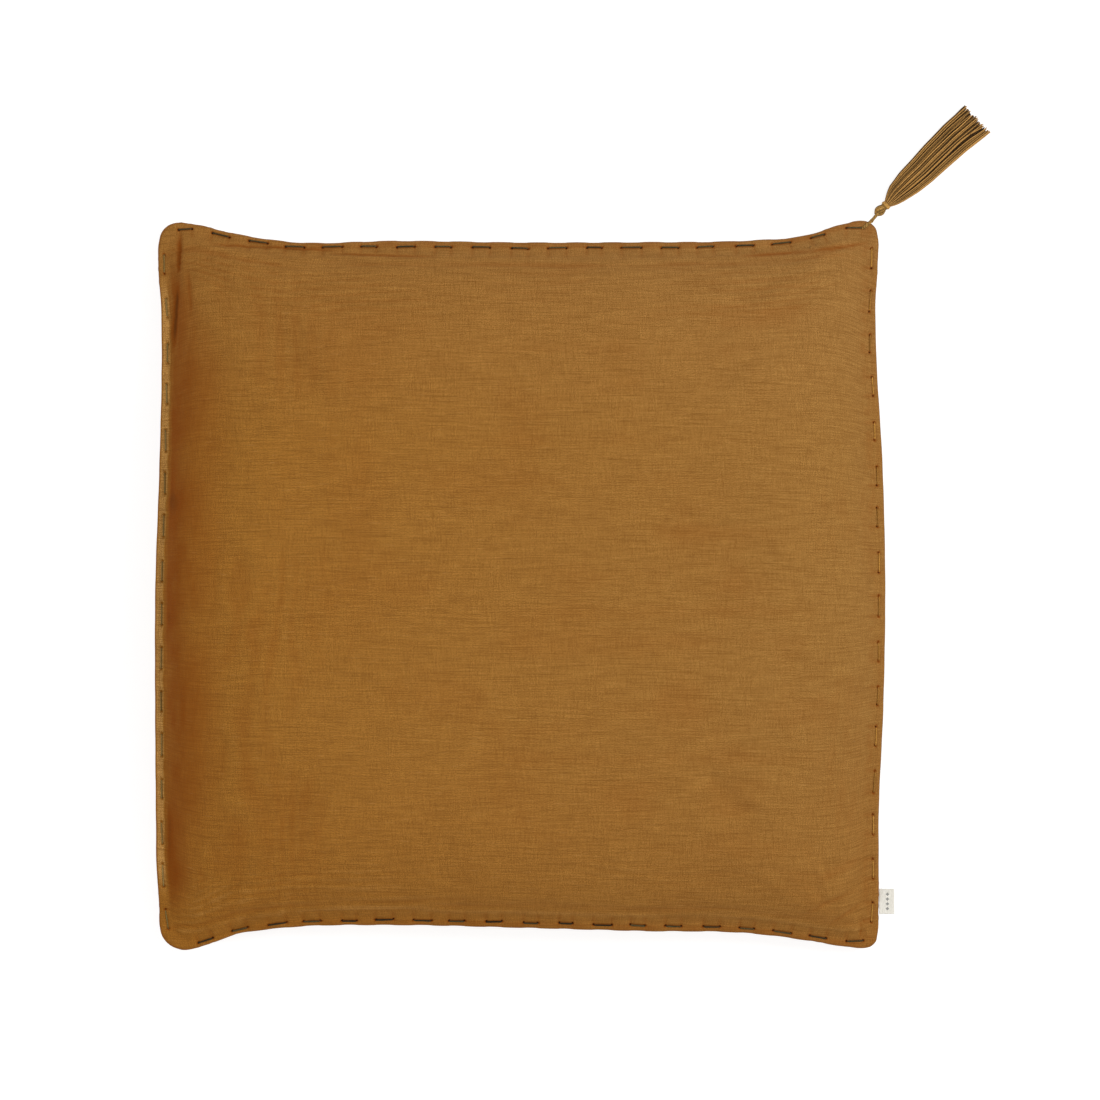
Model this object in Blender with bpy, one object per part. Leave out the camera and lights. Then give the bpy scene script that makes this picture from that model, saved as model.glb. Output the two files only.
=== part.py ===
"""Square floor cushion lying flat on the ground, in metres, +Z up.

The origin is on the ground under the middle of the cushion. +Y runs towards the edge whose right
end carries the tassel, and the small woven tab is in the +X edge.
"""

import math

import bmesh
import bpy
from mathutils import Matrix, Vector

# Whole cushion
HALF_SIDE = 0.300
HEIGHT = 0.115
CROWN = 0.007  # how much the middle stands above the shoulders
SEAM_Z = 0.050  # edge seam above the ground at the middle of a side
CORNER_SEAM_Z = 0.020  # the corners are nearly empty and droop
GAP = 0.0003

# Cover
FABRIC = 0.0015
LIP_WIDTH = 0.008
LIP_HALF_THICKNESS = 0.0031
LIP_WALL = 0.0013

# Flanks: how far the rounded side reaches in from the edge
TOP_FLANK = (0.062, 0.125)  # at the middle of a side, at a corner
UNDER_FLANK = (0.062, 0.085)

# Inner cushion
INSERT_INSET = 0.015
INSERT_CLEARANCE = 0.0025
CASING = 0.001
FILLING_GAP = 0.0008
CHANNEL = (0.0155, 0.0073, 0.2262)  # hollow over the zip: half width, top, half length
CHANNEL_FLANGE = 0.0045  # lowest point of the casing's walls beside that hollow

# Running stitch through the front layer of the lip
STITCH_INSET = 0.005
THREAD = 0.0014
STITCH_HOLE = 0.0024
STITCHES = {  # stitch count and length, and the bare length before the first and after the last
    "right": (16, 0.016, 0.012, 0.011),
    "top": (19, 0.014, 0.002, 0.002),
    "left": (16, 0.0175, 0.014, 0.002),
    "bottom": (19, 0.014, 0.0185, 0.002),
}
THREAD_TAIL = 0.0015

# Zip in the underside
ZIP_Y = -0.170
SLOT_HALF_WIDTH = 0.0042
SLOT_END = 0.219
ROW_END = 0.2045
TAPE_END = 0.225
TAPE_Z = 0.00415
TAPE_REACH = (0.0024, 0.0130)  # near and far edge of a tape, from the middle of the zip
TAPE_HALF_THICKNESS = 0.00025
ROW_REACH = (0.00055, 0.0021)
ROW_HALF_HEIGHT = 0.001
STOP_REACH = (GAP, 0.0021)
STOP_HALF_HEIGHT = 0.0013
TOP_STOP_LENGTH = 0.0025
BOTTOM_STOP_LENGTH = 0.003
HEM_WIDTH = 0.006
HEM_HEIGHTS = (0.0008, 0.0036)
SLIDER_LENGTH = 0.011
SLIDER_X = 0.1980
PULL_Z = 0.0013
PULL_LENGTH = 0.015
PULL_HALF_WIDTH = 0.0026
PULL_THICKNESS = 0.0006
PULL_HALF_BAR = 0.0003

# Tassel, which points away from the (+X, +Y) corner
TASSEL_ANGLE = math.radians(42.7)
KNOT_AT = Vector((0.2938, 0.3043, 0.0212))
HEAD_AT = Vector((0.3010, 0.3129, 0.0048))
HEAD_RADIUS = 0.0043
CORD_RADIUS = 0.0009
CORD_CLEARANCE = 0.001  # the head turns about the cord's lower end
BINDING = [  # ovals: distance from the head's middle, half width, half height, height of the middle
    (0.0046, 0.0033, 0.0033, 0.0050),
    (0.0056, 0.0039, 0.0039, 0.0050),
    (0.0088, 0.0039, 0.0039, 0.0050),
    (0.0098, 0.0034, 0.0034, 0.0050),
]
SKIRT = [
    (0.0101, 0.0036, 0.0034, 0.0050),
    (0.0200, 0.0090, 0.0056, 0.0060),
    (0.0340, 0.0118, 0.0064, 0.0068),
    (0.0620, 0.0138, 0.0062, 0.0066),
    (0.0900, 0.0150, 0.0056, 0.0060),
    (0.1138, 0.0156, 0.0050, 0.0054),
]

# Woven tab, and the care label inside
TAB_Y = -0.2635
TAB_SIZE = Vector((0.0120, 0.0210, 0.0009))
TAB_HINGE_X = 0.3004
TAB_ROOT = 0.0004  # how far it reaches in past its hinge
CARE_LABEL = ((-0.165, -0.153, 0.0018), (-0.135, -0.113, 0.0022))

# Outline of the edge: its distance from the middle of the cushion at these stations along a side
STATIONS = (-0.270, -0.235, -0.195, -0.100, 0.000, 0.100, 0.195, 0.235, 0.270)
EDGES = {
    "right": (0.2995, 0.2995, 0.2993, 0.3030, 0.3045, 0.3023, 0.2973, 0.2968, 0.2989),
    "top": (0.301, 0.293, 0.2868, 0.2871, 0.2857, 0.286, 0.2878, 0.2912, 0.3014),
    "left": (0.3005, 0.3027, 0.303, 0.3034, 0.3031, 0.2998, 0.2982, 0.299, 0.3015),
    "bottom": (0.3025, 0.2906, 0.2852, 0.2828, 0.2849, 0.2877, 0.2902, 0.2953, 0.301),
}
CORNERS = {  # the corner after each side, anticlockwise, and the radius that rounds it
    "right": (0.299, 0.3047, 0.014),
    "top": (-0.301, 0.303, 0.017),
    "left": (-0.3005, -0.304, 0.021),
    "bottom": (0.2985, -0.3027, 0.011),
}

MATERIALS = {  # colour, roughness, metallic
    "cover_gauze": ((0.32, 0.15, 0.04), 0.9, 0.0),
    "edge_thread": ((0.12, 0.08, 0.035), 0.85, 0.0),
    "tassel_thread": ((0.19, 0.09, 0.025), 0.8, 0.0),
    "tab_weave": ((0.60, 0.60, 0.55), 0.8, 0.0),
    "zip_tape": ((0.28, 0.14, 0.05), 0.85, 0.0),
    "zip_teeth": ((0.22, 0.11, 0.04), 0.45, 0.0),
    "zip_metal": ((0.42, 0.33, 0.20), 0.35, 1.0),
    "casing_cotton": ((0.72, 0.69, 0.62), 0.9, 0.0),
    "filling_fibre": ((0.85, 0.84, 0.80), 0.95, 0.0),
    "care_satin": ((0.80, 0.80, 0.77), 0.5, 0.0),
}


# Scene and material helpers


def clear_scene():
    for obj in list(bpy.data.objects):
        bpy.data.objects.remove(obj)


def material(name):
    found = bpy.data.materials.get(name)
    if found:
        return found
    colour, roughness, metallic = MATERIALS[name]
    made = bpy.data.materials.new(name)
    made.use_nodes = True
    shader = made.node_tree.nodes["Principled BSDF"]
    shader.inputs["Base Color"].default_value = (*colour, 1.0)
    shader.inputs["Roughness"].default_value = roughness
    shader.inputs["Metallic"].default_value = metallic
    return made


def add_object(name, mesh, slot=None):
    obj = bpy.data.objects.new(name, mesh)
    bpy.context.scene.collection.objects.link(obj)
    if slot:
        mesh.materials.append(material(slot))
    return obj


def mesh_from_bmesh(name, bm):
    bmesh.ops.recalc_face_normals(bm, faces=bm.faces)
    mesh = bpy.data.meshes.new(name)
    bm.to_mesh(mesh)
    bm.free()
    return mesh


def smooth(obj, angle=math.radians(40)):
    obj.data.shade_smooth()
    obj.data.set_sharp_from_angle(angle=angle)


def box_mesh(name, low, high):
    bm = bmesh.new()
    size = Vector(high) - Vector(low)
    middle = (Vector(high) + Vector(low)) / 2
    place = Matrix.Translation(middle) @ Matrix.Diagonal((*size, 1.0))
    bmesh.ops.create_cube(bm, size=1.0, matrix=place)
    return mesh_from_bmesh(name, bm)


def add_box(name, low, high, slot, bevel=0.0):
    obj = add_object(name, box_mesh(name, low, high), slot)
    if bevel:
        modifier = obj.modifiers.new("edges", "BEVEL")
        modifier.width = bevel
        modifier.segments = 2
    return obj


def extruded(name, outline, axis, low, high):
    """A closed outline in the plane across one axis, 'x' or 'y', carried from low to high along it."""
    bm = bmesh.new()
    ends = []
    for reach in (low, high):
        if axis == "x":
            corners = [(reach, a, b) for a, b in outline]
        else:
            corners = [(a, reach, b) for a, b in outline]
        ends.append([bm.verts.new(corner) for corner in corners])
    for i in range(len(outline)):
        j = (i + 1) % len(outline)
        bm.faces.new((ends[0][i], ends[0][j], ends[1][j], ends[1][i]))
    for end in ends:
        bm.faces.new(end)
    return mesh_from_bmesh(name, bm)


def boolean(target, operation, mesh):
    """Cuts or joins a helper solid, which stays in the scene as a wire guide."""
    helper = add_object(f"{target.name}_{operation.lower()}_{len(target.modifiers)}", mesh)
    helper.hide_render = True
    helper.display_type = "WIRE"
    modifier = target.modifiers.new(helper.name, "BOOLEAN")
    modifier.operation = operation
    modifier.solver = "EXACT"
    modifier.object = helper


# Cushion outline and its rounded surfaces


def side_point(side, station, distance):
    return {
        "right": Vector((distance, station)),
        "top": Vector((-station, distance)),
        "left": Vector((-distance, -station)),
        "bottom": Vector((station, -distance)),
    }[side]


def side_distances(side):
    """EDGES lists right and left upwards, top and bottom rightwards; the outline runs anticlockwise."""
    values = EDGES[side]
    return values if side in ("right", "bottom") else values[::-1]


def corner_arc(side):
    """Four points that round the corner after this side, anticlockwise."""
    x, y, radius = CORNERS[side]
    middle = Vector((x - math.copysign(radius, x), y - math.copysign(radius, y)))
    start = {"right": 0, "top": 90, "left": 180, "bottom": 270}[side]
    angles = [math.radians(start + step) for step in (0, 30, 60, 90)]
    return [middle + radius * Vector((math.cos(a), math.sin(a))) for a in angles]


def build_outline():
    points, spans = [], {}
    for side in ("right", "top", "left", "bottom"):
        first = len(points)
        distances = side_distances(side)
        points += [side_point(side, s, d) for s, d in zip(STATIONS, distances)]
        spans[side] = (first, len(points) - 1)
        points += corner_arc(side)
    return points, spans


OUTLINE, SPANS = build_outline()


def cornerness(point):
    """0 at the middle of a side, 1 at a corner."""
    return min(1.0, (abs(point.x * point.y) / HALF_SIDE**2)) ** 2


def seam_height(point):
    return SEAM_Z + (CORNER_SEAM_Z - SEAM_Z) * cornerness(point)


def inset(point, distance, z):
    plan = point * (1 - distance / HALF_SIDE)
    return Vector((plan.x, plan.y, z))


def lip_ring(outline, distance, above_seam):
    return [inset(p, distance, seam_height(p) + above_seam) for p in outline]


def flank_ring(outline, start, flank, turn, base, plateau):
    """One ring of the rounded side. turn runs from 0 at the seam to a quarter turn on the plateau."""
    ring = []
    for point in outline:
        corner = cornerness(point)
        reach = flank[0] + (flank[1] - flank[0]) * corner
        along = 1 - math.cos(turn)
        rise = (1 - (1 - along) ** 2) ** (0.5 + 0.5 * corner)
        low = seam_height(point) + base
        ring.append(inset(point, start + reach * along, low + (plateau - low) * rise))
    return ring


def level_ring(outline, distance, z):
    return [inset(p, distance, z) for p in outline]


def top_rings(outline, start, flank, base, lowered, steps):
    """From the seam up the flank and over the crown."""
    shoulder = HEIGHT - CROWN - lowered
    rings = [
        flank_ring(outline, start, flank, math.pi / 2 * step / steps, base, shoulder)
        for step in range(steps + 1)
    ]
    rings.append(level_ring(outline, 0.165, HEIGHT - CROWN * 0.25 - lowered))
    rings.append(level_ring(outline, 0.225, HEIGHT - lowered))
    return rings


def under_rings(outline, start, flank, base, raised, steps):
    """From the seam down the flank to the flat underside."""
    return [
        flank_ring(outline, start, flank, math.pi / 2 * step / steps, base, raised)
        for step in range(steps + 1)
    ]


def shrunk(flank, amount):
    return tuple(reach - amount for reach in flank)


def skin(name, rings, slot):
    """A closed body through rings of equal length, capped at the first and the last."""
    bm = bmesh.new()
    loops = [[bm.verts.new(point) for point in ring] for ring in rings]
    count = len(loops[0])
    for lower, upper in zip(loops, loops[1:]):
        # Every quad splits from its outer ring's first point, so that nested skins stay parallel.
        inwards = lower[0].co.xy.length >= upper[0].co.xy.length
        for i in range(count):
            j = (i + 1) % count
            if inwards:
                bm.faces.new((lower[i], lower[j], upper[j]))
                bm.faces.new((lower[i], upper[j], upper[i]))
            else:
                bm.faces.new((lower[i], lower[j], upper[i]))
                bm.faces.new((lower[j], upper[j], upper[i]))
    bm.faces.new(loops[0])
    bm.faces.new(loops[-1])
    obj = add_object(name, mesh_from_bmesh(name, bm), slot)
    smooth(obj)
    return obj


# Cover


def cover_panel(name, side):
    """The front (side +1) or back (side -1) panel: a thin bowl with a flat lip and a turned edge."""
    flank = TOP_FLANK if side > 0 else UNDER_FLANK
    make_rings = top_rings if side > 0 else under_rings
    lip = side * LIP_HALF_THICKNESS
    inner_lip = side * (LIP_HALF_THICKNESS - FABRIC)
    rim = side * GAP / 2
    outer = make_rings(OUTLINE, LIP_WIDTH, flank, lip, 0.0, 4)
    inner_start = LIP_WIDTH + FABRIC
    inner = make_rings(OUTLINE, inner_start, shrunk(flank, FABRIC), inner_lip, FABRIC, 4)
    rings = list(reversed(outer))
    rings.append(lip_ring(OUTLINE, 0.0, lip))
    rings.append(lip_ring(OUTLINE, 0.0, rim))
    rings.append(lip_ring(OUTLINE, LIP_WALL, rim))
    rings.append(lip_ring(OUTLINE, LIP_WALL, inner_lip))
    rings += inner
    return skin(name, rings, "cover_gauze")


def box_set(name, centres, size):
    """Several equal boxes in one mesh, each turned about Z and given as (middle, angle)."""
    bm = bmesh.new()
    stretch = Matrix.Diagonal((*size, 1.0))
    for middle, angle in centres:
        place = Matrix.Translation(middle) @ Matrix.Rotation(angle, 4, "Z") @ stretch
        bmesh.ops.create_cube(bm, size=1.0, matrix=place)
    return mesh_from_bmesh(name, bm)


def make_cover_front(holes):
    obj = cover_panel("cover_front", 1)
    middles = [(point + Vector((0, 0, 0.0022)), angle) for point, angle in holes]
    boolean(obj, "DIFFERENCE", box_set("stitch_holes", middles, (STITCH_HOLE, STITCH_HOLE, 0.0036)))


def beside_zip(side, near, far):
    """The span in Y between two distances from the middle of the zip, on its +Y or its -Y side."""
    return sorted((ZIP_Y + side * near, ZIP_Y + side * far))


def make_back_panels():
    """The back is cut along the zip: two panels, each with a turned hem beside the slot."""
    far = 0.6
    past_middle = -0.02
    hem_end = SLOT_END - 0.004
    for name, side in (("cover_back_main", 1), ("cover_back_strip", -1)):
        obj = cover_panel(name, -1)
        low, high = beside_zip(side, GAP / 2, -far)
        boolean(obj, "DIFFERENCE", box_mesh("cut", (-far, low, -0.05), (far, high, 0.1)))
        low, high = beside_zip(side, SLOT_HALF_WIDTH, past_middle)
        slot = box_mesh("slot", (-SLOT_END, low, -0.01), (SLOT_END, high, 0.012))
        boolean(obj, "DIFFERENCE", slot)
        low, high = beside_zip(side, SLOT_HALF_WIDTH, SLOT_HALF_WIDTH + HEM_WIDTH)
        bottom, top = HEM_HEIGHTS
        hem = box_mesh("hem", (-hem_end, low, bottom), (hem_end, high, top))
        boolean(obj, "UNION", hem)


# Running stitch


def stitch_row(side):
    """Points of the stitch line along one side, and their distances from its start."""
    first, last = SPANS[side]
    reach = 2  # points of the corner arcs that belong to the row at each end
    outline = [OUTLINE[i % len(OUTLINE)] for i in range(first - reach, last + reach + 1)]
    points = lip_ring(outline, STITCH_INSET, 0.0)
    distances = [0.0]
    for a, b in zip(points, points[1:]):
        distances.append(distances[-1] + (b - a).length)
    return points, distances


def on_row(row, distance):
    """The point and the heading of a stitch row at a distance along it."""
    points, distances = row
    i = 0
    while i < len(points) - 2 and distances[i + 1] < distance:
        i += 1
    share = (distance - distances[i]) / (distances[i + 1] - distances[i])
    step = points[i + 1] - points[i]
    return points[i].lerp(points[i + 1], share), math.atan2(step.y, step.x)


def stitch_ends(side):
    """(start, end) of each stitch, as distances along the row."""
    count, length, before, after = STITCHES[side]
    pitch = (stitch_row(side)[1][-1] - before - after - length) / (count - 1)
    return [(before + i * pitch, before + i * pitch + length) for i in range(count)]


def hole_places():
    places = []
    for side in STITCHES:
        row = stitch_row(side)
        for ends in stitch_ends(side):
            places += [on_row(row, end) for end in ends]
    return places


def make_thread(side):
    """One thread that dips through the lip's front layer at both ends of every stitch."""
    row = stitch_row(side)
    half = THREAD / 2
    over = LIP_HALF_THICKNESS + half + 0.0005
    ends = stitch_ends(side)
    path = [(ends[0][0] - THREAD_TAIL, 0.0, 0)]
    for start, end in ends:
        path += [(start, 0.0, -1), (start, over, -1), (end, over, 1), (end, 0.0, 1)]
    path.append((ends[-1][1] + THREAD_TAIL, 0.0, 0))
    rings = []
    for distance, height, lean in path:
        corners = []
        for along, across in ((1, 1), (1, -1), (-1, -1), (-1, 1)):
            point, heading = on_row(row, distance + along * lean * half)
            sideways = Vector((-math.sin(heading), math.cos(heading), 0)) * across * half
            corners.append(point + sideways + Vector((0, 0, height + along * half)))
        rings.append(corners)
    skin(f"edge_stitch_{side}", rings, "edge_thread")


# Inner cushion


def zip_channel(target, operation, wall, bottom):
    """Cuts or adds the box over the zip, made larger all round by a wall."""
    half_width, top, end = (size + wall for size in CHANNEL)
    low = (-end, ZIP_Y - half_width, bottom)
    boolean(target, operation, box_mesh("channel", low, (end, ZIP_Y + half_width, top)))


def insert_rings(side, extra, base, steps):
    """Rings of the inner cushion's surface, extra metres inside its outer face."""
    outline = OUTLINE[::2]
    offset = INSERT_CLEARANCE + FABRIC + extra
    start = INSERT_INSET + extra
    if side > 0:
        return top_rings(outline, start, shrunk(TOP_FLANK, 0.004), base, offset, steps)
    return under_rings(outline, start, shrunk(UNDER_FLANK, 0.004), base, offset, steps)


def make_insert():
    for name, side in (("insert_casing_top", 1), ("insert_casing_bottom", -1)):
        outer = insert_rings(side, 0.0, side * GAP / 2, 3)
        inner = insert_rings(side, CASING, side * GAP / 2, 3)
        obj = skin(name, list(reversed(outer)) + inner, "casing_cotton")
        if side < 0:
            zip_channel(obj, "UNION", CASING, CHANNEL_FLANGE)
            zip_channel(obj, "DIFFERENCE", 0.0, -CASING)
    extra = CASING + FILLING_GAP
    top = insert_rings(1, extra, 0.0, 3)
    under = insert_rings(-1, extra, 0.0, 3)
    filling = skin("insert_filling", list(reversed(top)) + under[1:], "filling_fibre")
    zip_channel(filling, "DIFFERENCE", extra + GAP, -CASING)


# Zip


def zip_bar(name, side, ends, reach, half_height, slot, bevel=0.0):
    """A bar along the zip, on one side of its middle."""
    near, far = beside_zip(side, *reach)
    low = (ends[0], near, TAPE_Z - half_height)
    high = (ends[1], far, TAPE_Z + half_height)
    add_box(name, low, high, slot, bevel)


def make_zip():
    row = (-ROW_END, ROW_END)
    tape = (-TAPE_END, TAPE_END)
    stop = (ROW_END + GAP, ROW_END + GAP + TOP_STOP_LENGTH)
    for part, side in (("main", 1), ("strip", -1)):
        zip_bar(f"zip_tape_{part}", side, tape, TAPE_REACH, TAPE_HALF_THICKNESS, "zip_tape")
        zip_bar(f"zip_teeth_{part}", side, row, ROW_REACH, ROW_HALF_HEIGHT, "zip_teeth", 0.0004)
        name = f"zip_top_stop_{part}"
        zip_bar(name, side, stop, STOP_REACH, STOP_HALF_HEIGHT, "zip_metal", 0.0003)
    stop = (-ROW_END - GAP - BOTTOM_STOP_LENGTH, -ROW_END - GAP)
    across = (-STOP_REACH[1], STOP_REACH[1])
    zip_bar("zip_bottom_stop", 1, stop, across, STOP_HALF_HEIGHT, "zip_metal", 0.0003)


def channel(name, side):
    """Half of the slider: a plate with two lips that turn in over the tapes."""
    plate, inside, lip = 0.00225, 0.00145, 0.00055
    corners = [(-0.0036, plate), (0.0036, plate), (0.0036, lip), (0.0028, lip)]
    corners += [(0.0028, inside), (-0.0028, inside), (-0.0028, lip), (-0.0036, lip)]
    outline = [(ZIP_Y + y, TAPE_Z + side * z) for y, z in corners]
    return extruded(name, outline, "x", SLIDER_X - SLIDER_LENGTH / 2, SLIDER_X + SLIDER_LENGTH / 2)


def make_slider():
    """Two channel halves joined by a post, with an arch below that the pull hangs from."""
    obj = add_object("zip_slider", channel("zip_slider", -1), "zip_metal")
    boolean(obj, "UNION", channel("upper", 1))
    end = SLIDER_X + SLIDER_LENGTH / 2
    length, half_width, half_height = 0.002, 0.00025, 0.0016
    low = (end - length, ZIP_Y - half_width, TAPE_Z - half_height)
    high = (end - 0.0001, ZIP_Y + half_width, TAPE_Z + half_height)
    boolean(obj, "UNION", box_mesh("post", low, high))
    outer, inner = 0.0032, 0.0024
    low, bar, top = 0.0003, 0.00075, 0.0022
    arch = [(-outer, top), (-outer, low), (outer, low), (outer, top)]
    arch += [(inner, top), (inner, bar), (-inner, bar), (-inner, top)]
    outline = [(SLIDER_X + x, z) for x, z in arch]
    half = 0.0006
    boolean(obj, "UNION", extruded("bail", outline, "y", ZIP_Y - half, ZIP_Y + half))


def make_pull():
    """A flat tab, hung from the slider's arch by the bar at its hinge end."""
    bm = bmesh.new()
    outline = [(PULL_HALF_BAR, -PULL_HALF_WIDTH), (PULL_HALF_BAR, PULL_HALF_WIDTH)]
    middle = PULL_HALF_WIDTH - PULL_LENGTH
    for step in range(7):
        angle = math.pi / 2 + math.pi * step / 6
        x = middle + PULL_HALF_WIDTH * math.cos(angle)
        outline.append((x, PULL_HALF_WIDTH * math.sin(angle)))
    verts = [bm.verts.new((x, y, -PULL_THICKNESS / 2)) for x, y in outline]
    face = bm.faces.new(verts)
    pushed = bmesh.ops.extrude_face_region(bm, geom=[face])
    moved = [item for item in pushed["geom"] if isinstance(item, bmesh.types.BMVert)]
    bmesh.ops.translate(bm, verts=moved, vec=(0, 0, PULL_THICKNESS))
    obj = add_object("zip_pull", mesh_from_bmesh("zip_pull", bm), "zip_metal")
    obj.location = (SLIDER_X, ZIP_Y, PULL_Z)
    length, half_width, half_height = 0.0042, 0.0011, 0.002
    low = (SLIDER_X - length, ZIP_Y - half_width, PULL_Z - half_height)
    high = (SLIDER_X - PULL_HALF_BAR, ZIP_Y + half_width, PULL_Z + half_height)
    boolean(obj, "DIFFERENCE", box_mesh("eye", low, high))


# Tab, care label and tassel


def make_labels():
    seam = seam_height(Vector((TAB_HINGE_X, TAB_Y)))
    low = (TAB_HINGE_X - TAB_ROOT, TAB_Y - TAB_SIZE.y / 2, seam - TAB_SIZE.z / 2)
    high = (TAB_HINGE_X + TAB_SIZE.x, TAB_Y + TAB_SIZE.y / 2, seam + TAB_SIZE.z / 2)
    add_box("side_label", low, high, "tab_weave", 0.00025)
    add_box("care_label", *CARE_LABEL, "care_satin")


def tube(name, points, radius, slot):
    """A round cord through the points, with closed ends."""
    curve = bpy.data.curves.new(name, "CURVE")
    curve.dimensions = "3D"
    curve.bevel_depth = radius
    curve.bevel_resolution = 2
    curve.use_fill_caps = True
    spline = curve.splines.new("POLY")
    spline.points.add(len(points) - 1)
    for spot, point in zip(spline.points, points):
        spot.co = (*point, 1.0)
    curve.materials.append(material(slot))
    obj = bpy.data.objects.new(name, curve)
    bpy.context.scene.collection.objects.link(obj)
    return obj


def ball(name, middle, radii, slot):
    bm = bmesh.new()
    bmesh.ops.create_uvsphere(bm, u_segments=14, v_segments=9, radius=1.0)
    bmesh.ops.scale(bm, vec=radii, verts=bm.verts)
    obj = add_object(name, mesh_from_bmesh(name, bm), slot)
    obj.location = middle
    smooth(obj)
    return obj


def tassel_sections(name, sections):
    """A body through ovals stacked along the tassel."""
    along = Vector((math.cos(TASSEL_ANGLE), math.sin(TASSEL_ANGLE), 0))
    across = Vector((-along.y, along.x, 0))
    rings = []
    for distance, half_width, half_height, z in sections:
        middle = Vector((HEAD_AT.x, HEAD_AT.y, 0)) + along * distance
        ring = []
        for step in range(14):
            angle = 2 * math.pi * step / 14
            up = Vector((0, 0, z + half_height * math.sin(angle)))
            ring.append(middle + across * half_width * math.cos(angle) + up)
        rings.append(ring)
    return skin(name, rings, "tassel_thread")


def make_tassel():
    # A short stitch on the lip holds the cord's root, and the bead of the knot turns at the edge.
    lip_top = seam_height(corner_arc("right")[1]) + LIP_HALF_THICKNESS + CORD_RADIUS + 0.0006
    root = [Vector((0.2868, 0.2982, lip_top)), Vector((0.2898, 0.3008, lip_top))]
    root.append(Vector((0.2922, 0.3028, lip_top - 0.0004)))
    tube("tassel_anchor", root, CORD_RADIUS, "tassel_thread")
    ball("tassel_knot", KNOT_AT, (0.0013, 0.0013, 0.0013), "tassel_thread")
    down = (HEAD_AT - KNOT_AT).normalized()
    start = KNOT_AT + down * 0.0017
    end = HEAD_AT - down * (HEAD_RADIUS + CORD_CLEARANCE)
    tube("tassel_cord", [start, start.lerp(end, 0.5), end], CORD_RADIUS, "tassel_thread")
    ball("tassel_head", HEAD_AT, (HEAD_RADIUS, HEAD_RADIUS, HEAD_RADIUS), "tassel_thread")
    tassel_sections("tassel_neck_binding", BINDING)
    tassel_sections("tassel_skirt", SKIRT)


def main():
    clear_scene()
    make_cover_front(hole_places())
    make_back_panels()
    for side in STITCHES:
        make_thread(side)
    make_insert()
    make_zip()
    make_slider()
    make_pull()
    make_labels()
    make_tassel()


main()
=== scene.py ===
"""Looks of the floor cushion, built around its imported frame, in metres, +Z up.

+Y runs towards the edge whose right end carries the tassel, and the small woven tab is in the +X edge.
The outline, the edge's height and the flanks repeat the CAD model's own, so that every piece here lies
where its solid is.
"""

import math
import random

import bmesh
import bpy
import numpy as np
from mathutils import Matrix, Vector
from mathutils.bvhtree import BVHTree


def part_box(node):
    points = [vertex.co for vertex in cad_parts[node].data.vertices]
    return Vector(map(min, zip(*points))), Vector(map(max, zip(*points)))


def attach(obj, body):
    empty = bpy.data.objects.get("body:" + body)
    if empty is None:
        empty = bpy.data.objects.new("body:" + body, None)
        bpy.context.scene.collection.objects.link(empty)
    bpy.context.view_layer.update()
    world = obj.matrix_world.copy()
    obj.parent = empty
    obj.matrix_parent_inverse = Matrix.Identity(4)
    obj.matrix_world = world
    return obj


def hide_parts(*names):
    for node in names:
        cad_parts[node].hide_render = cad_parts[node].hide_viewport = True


MM = 0.001

# Cushion, as in the CAD model
HALF_SIDE = 0.300
HEIGHT = 0.115
CROWN = 0.007
SEAM_Z = 0.050
CORNER_SEAM_Z = 0.020
SEAM_GAP = 0.00015
LIP_WIDTH = 0.008
LIP_HALF_THICKNESS = 0.0031
TOP_FLANK = (0.062, 0.125)  # how far the rounded side reaches in: at the middle of a side, at a corner
UNDER_FLANK = (0.062, 0.085)
CROWN_START = 0.225  # inset from the edge at which the crown is level
UNDERSIDE_Z = 0.0002
EDGE_ROLL = 0.0024  # inset at which the lip's rounded edge has its full thickness
LIP_PUFF = 0.0004  # how much thicker the lip is in its middle
BESIDE_LIP = (0.0012, 0.0048)  # width of the bend there, and what the front adds away from the left edge
FLANK_POWER = (0.58, 0.20)  # the lower, the squarer the flank; and what the front adds likewise

STATIONS = (-0.270, -0.235, -0.195, -0.100, 0.000, 0.100, 0.195, 0.235, 0.270)
SIDES = ("right", "top", "left", "bottom")
EDGES = {  # distance of each edge from the middle; right and left upwards, top and bottom rightwards
    "right": (0.2995, 0.2995, 0.2993, 0.3030, 0.3045, 0.3023, 0.2973, 0.2968, 0.2989),
    "top": (0.301, 0.293, 0.2868, 0.2871, 0.2857, 0.286, 0.2878, 0.2912, 0.3014),
    "left": (0.3005, 0.3027, 0.303, 0.3034, 0.3031, 0.2998, 0.2982, 0.299, 0.3015),
    "bottom": (0.3025, 0.2906, 0.2852, 0.2828, 0.2849, 0.2877, 0.2902, 0.2953, 0.301),
}
CORNERS = {  # the corner after each side, anticlockwise, and the radius that rounds it
    "right": (0.299, 0.3047, 0.014),
    "top": (-0.301, 0.303, 0.017),
    "left": (-0.3005, -0.304, 0.021),
    "bottom": (0.2985, -0.3027, 0.011),
}

# Running stitch
STITCH_INSET = 0.005
STITCH_LOOKS = {  # sideways pull on the edge, and the painted shade of the cloth under the thread and at its holes
    "right": (0.00008, 0.04, 1.30),
    "top": (0.00034, 0.50, 1.50),
    "left": (0.00010, 0.00, 1.05),
    "bottom": (0.00034, 0.45, 1.50),
}
STITCHES = {  # count, length, and the bare length before the first and after the last
    "right": (16, 0.016, 0.012, 0.011),
    "top": (19, 0.014, 0.002, 0.002),
    "left": (16, 0.0175, 0.014, 0.002),
    "bottom": (19, 0.014, 0.0185, 0.002),
}

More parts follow.
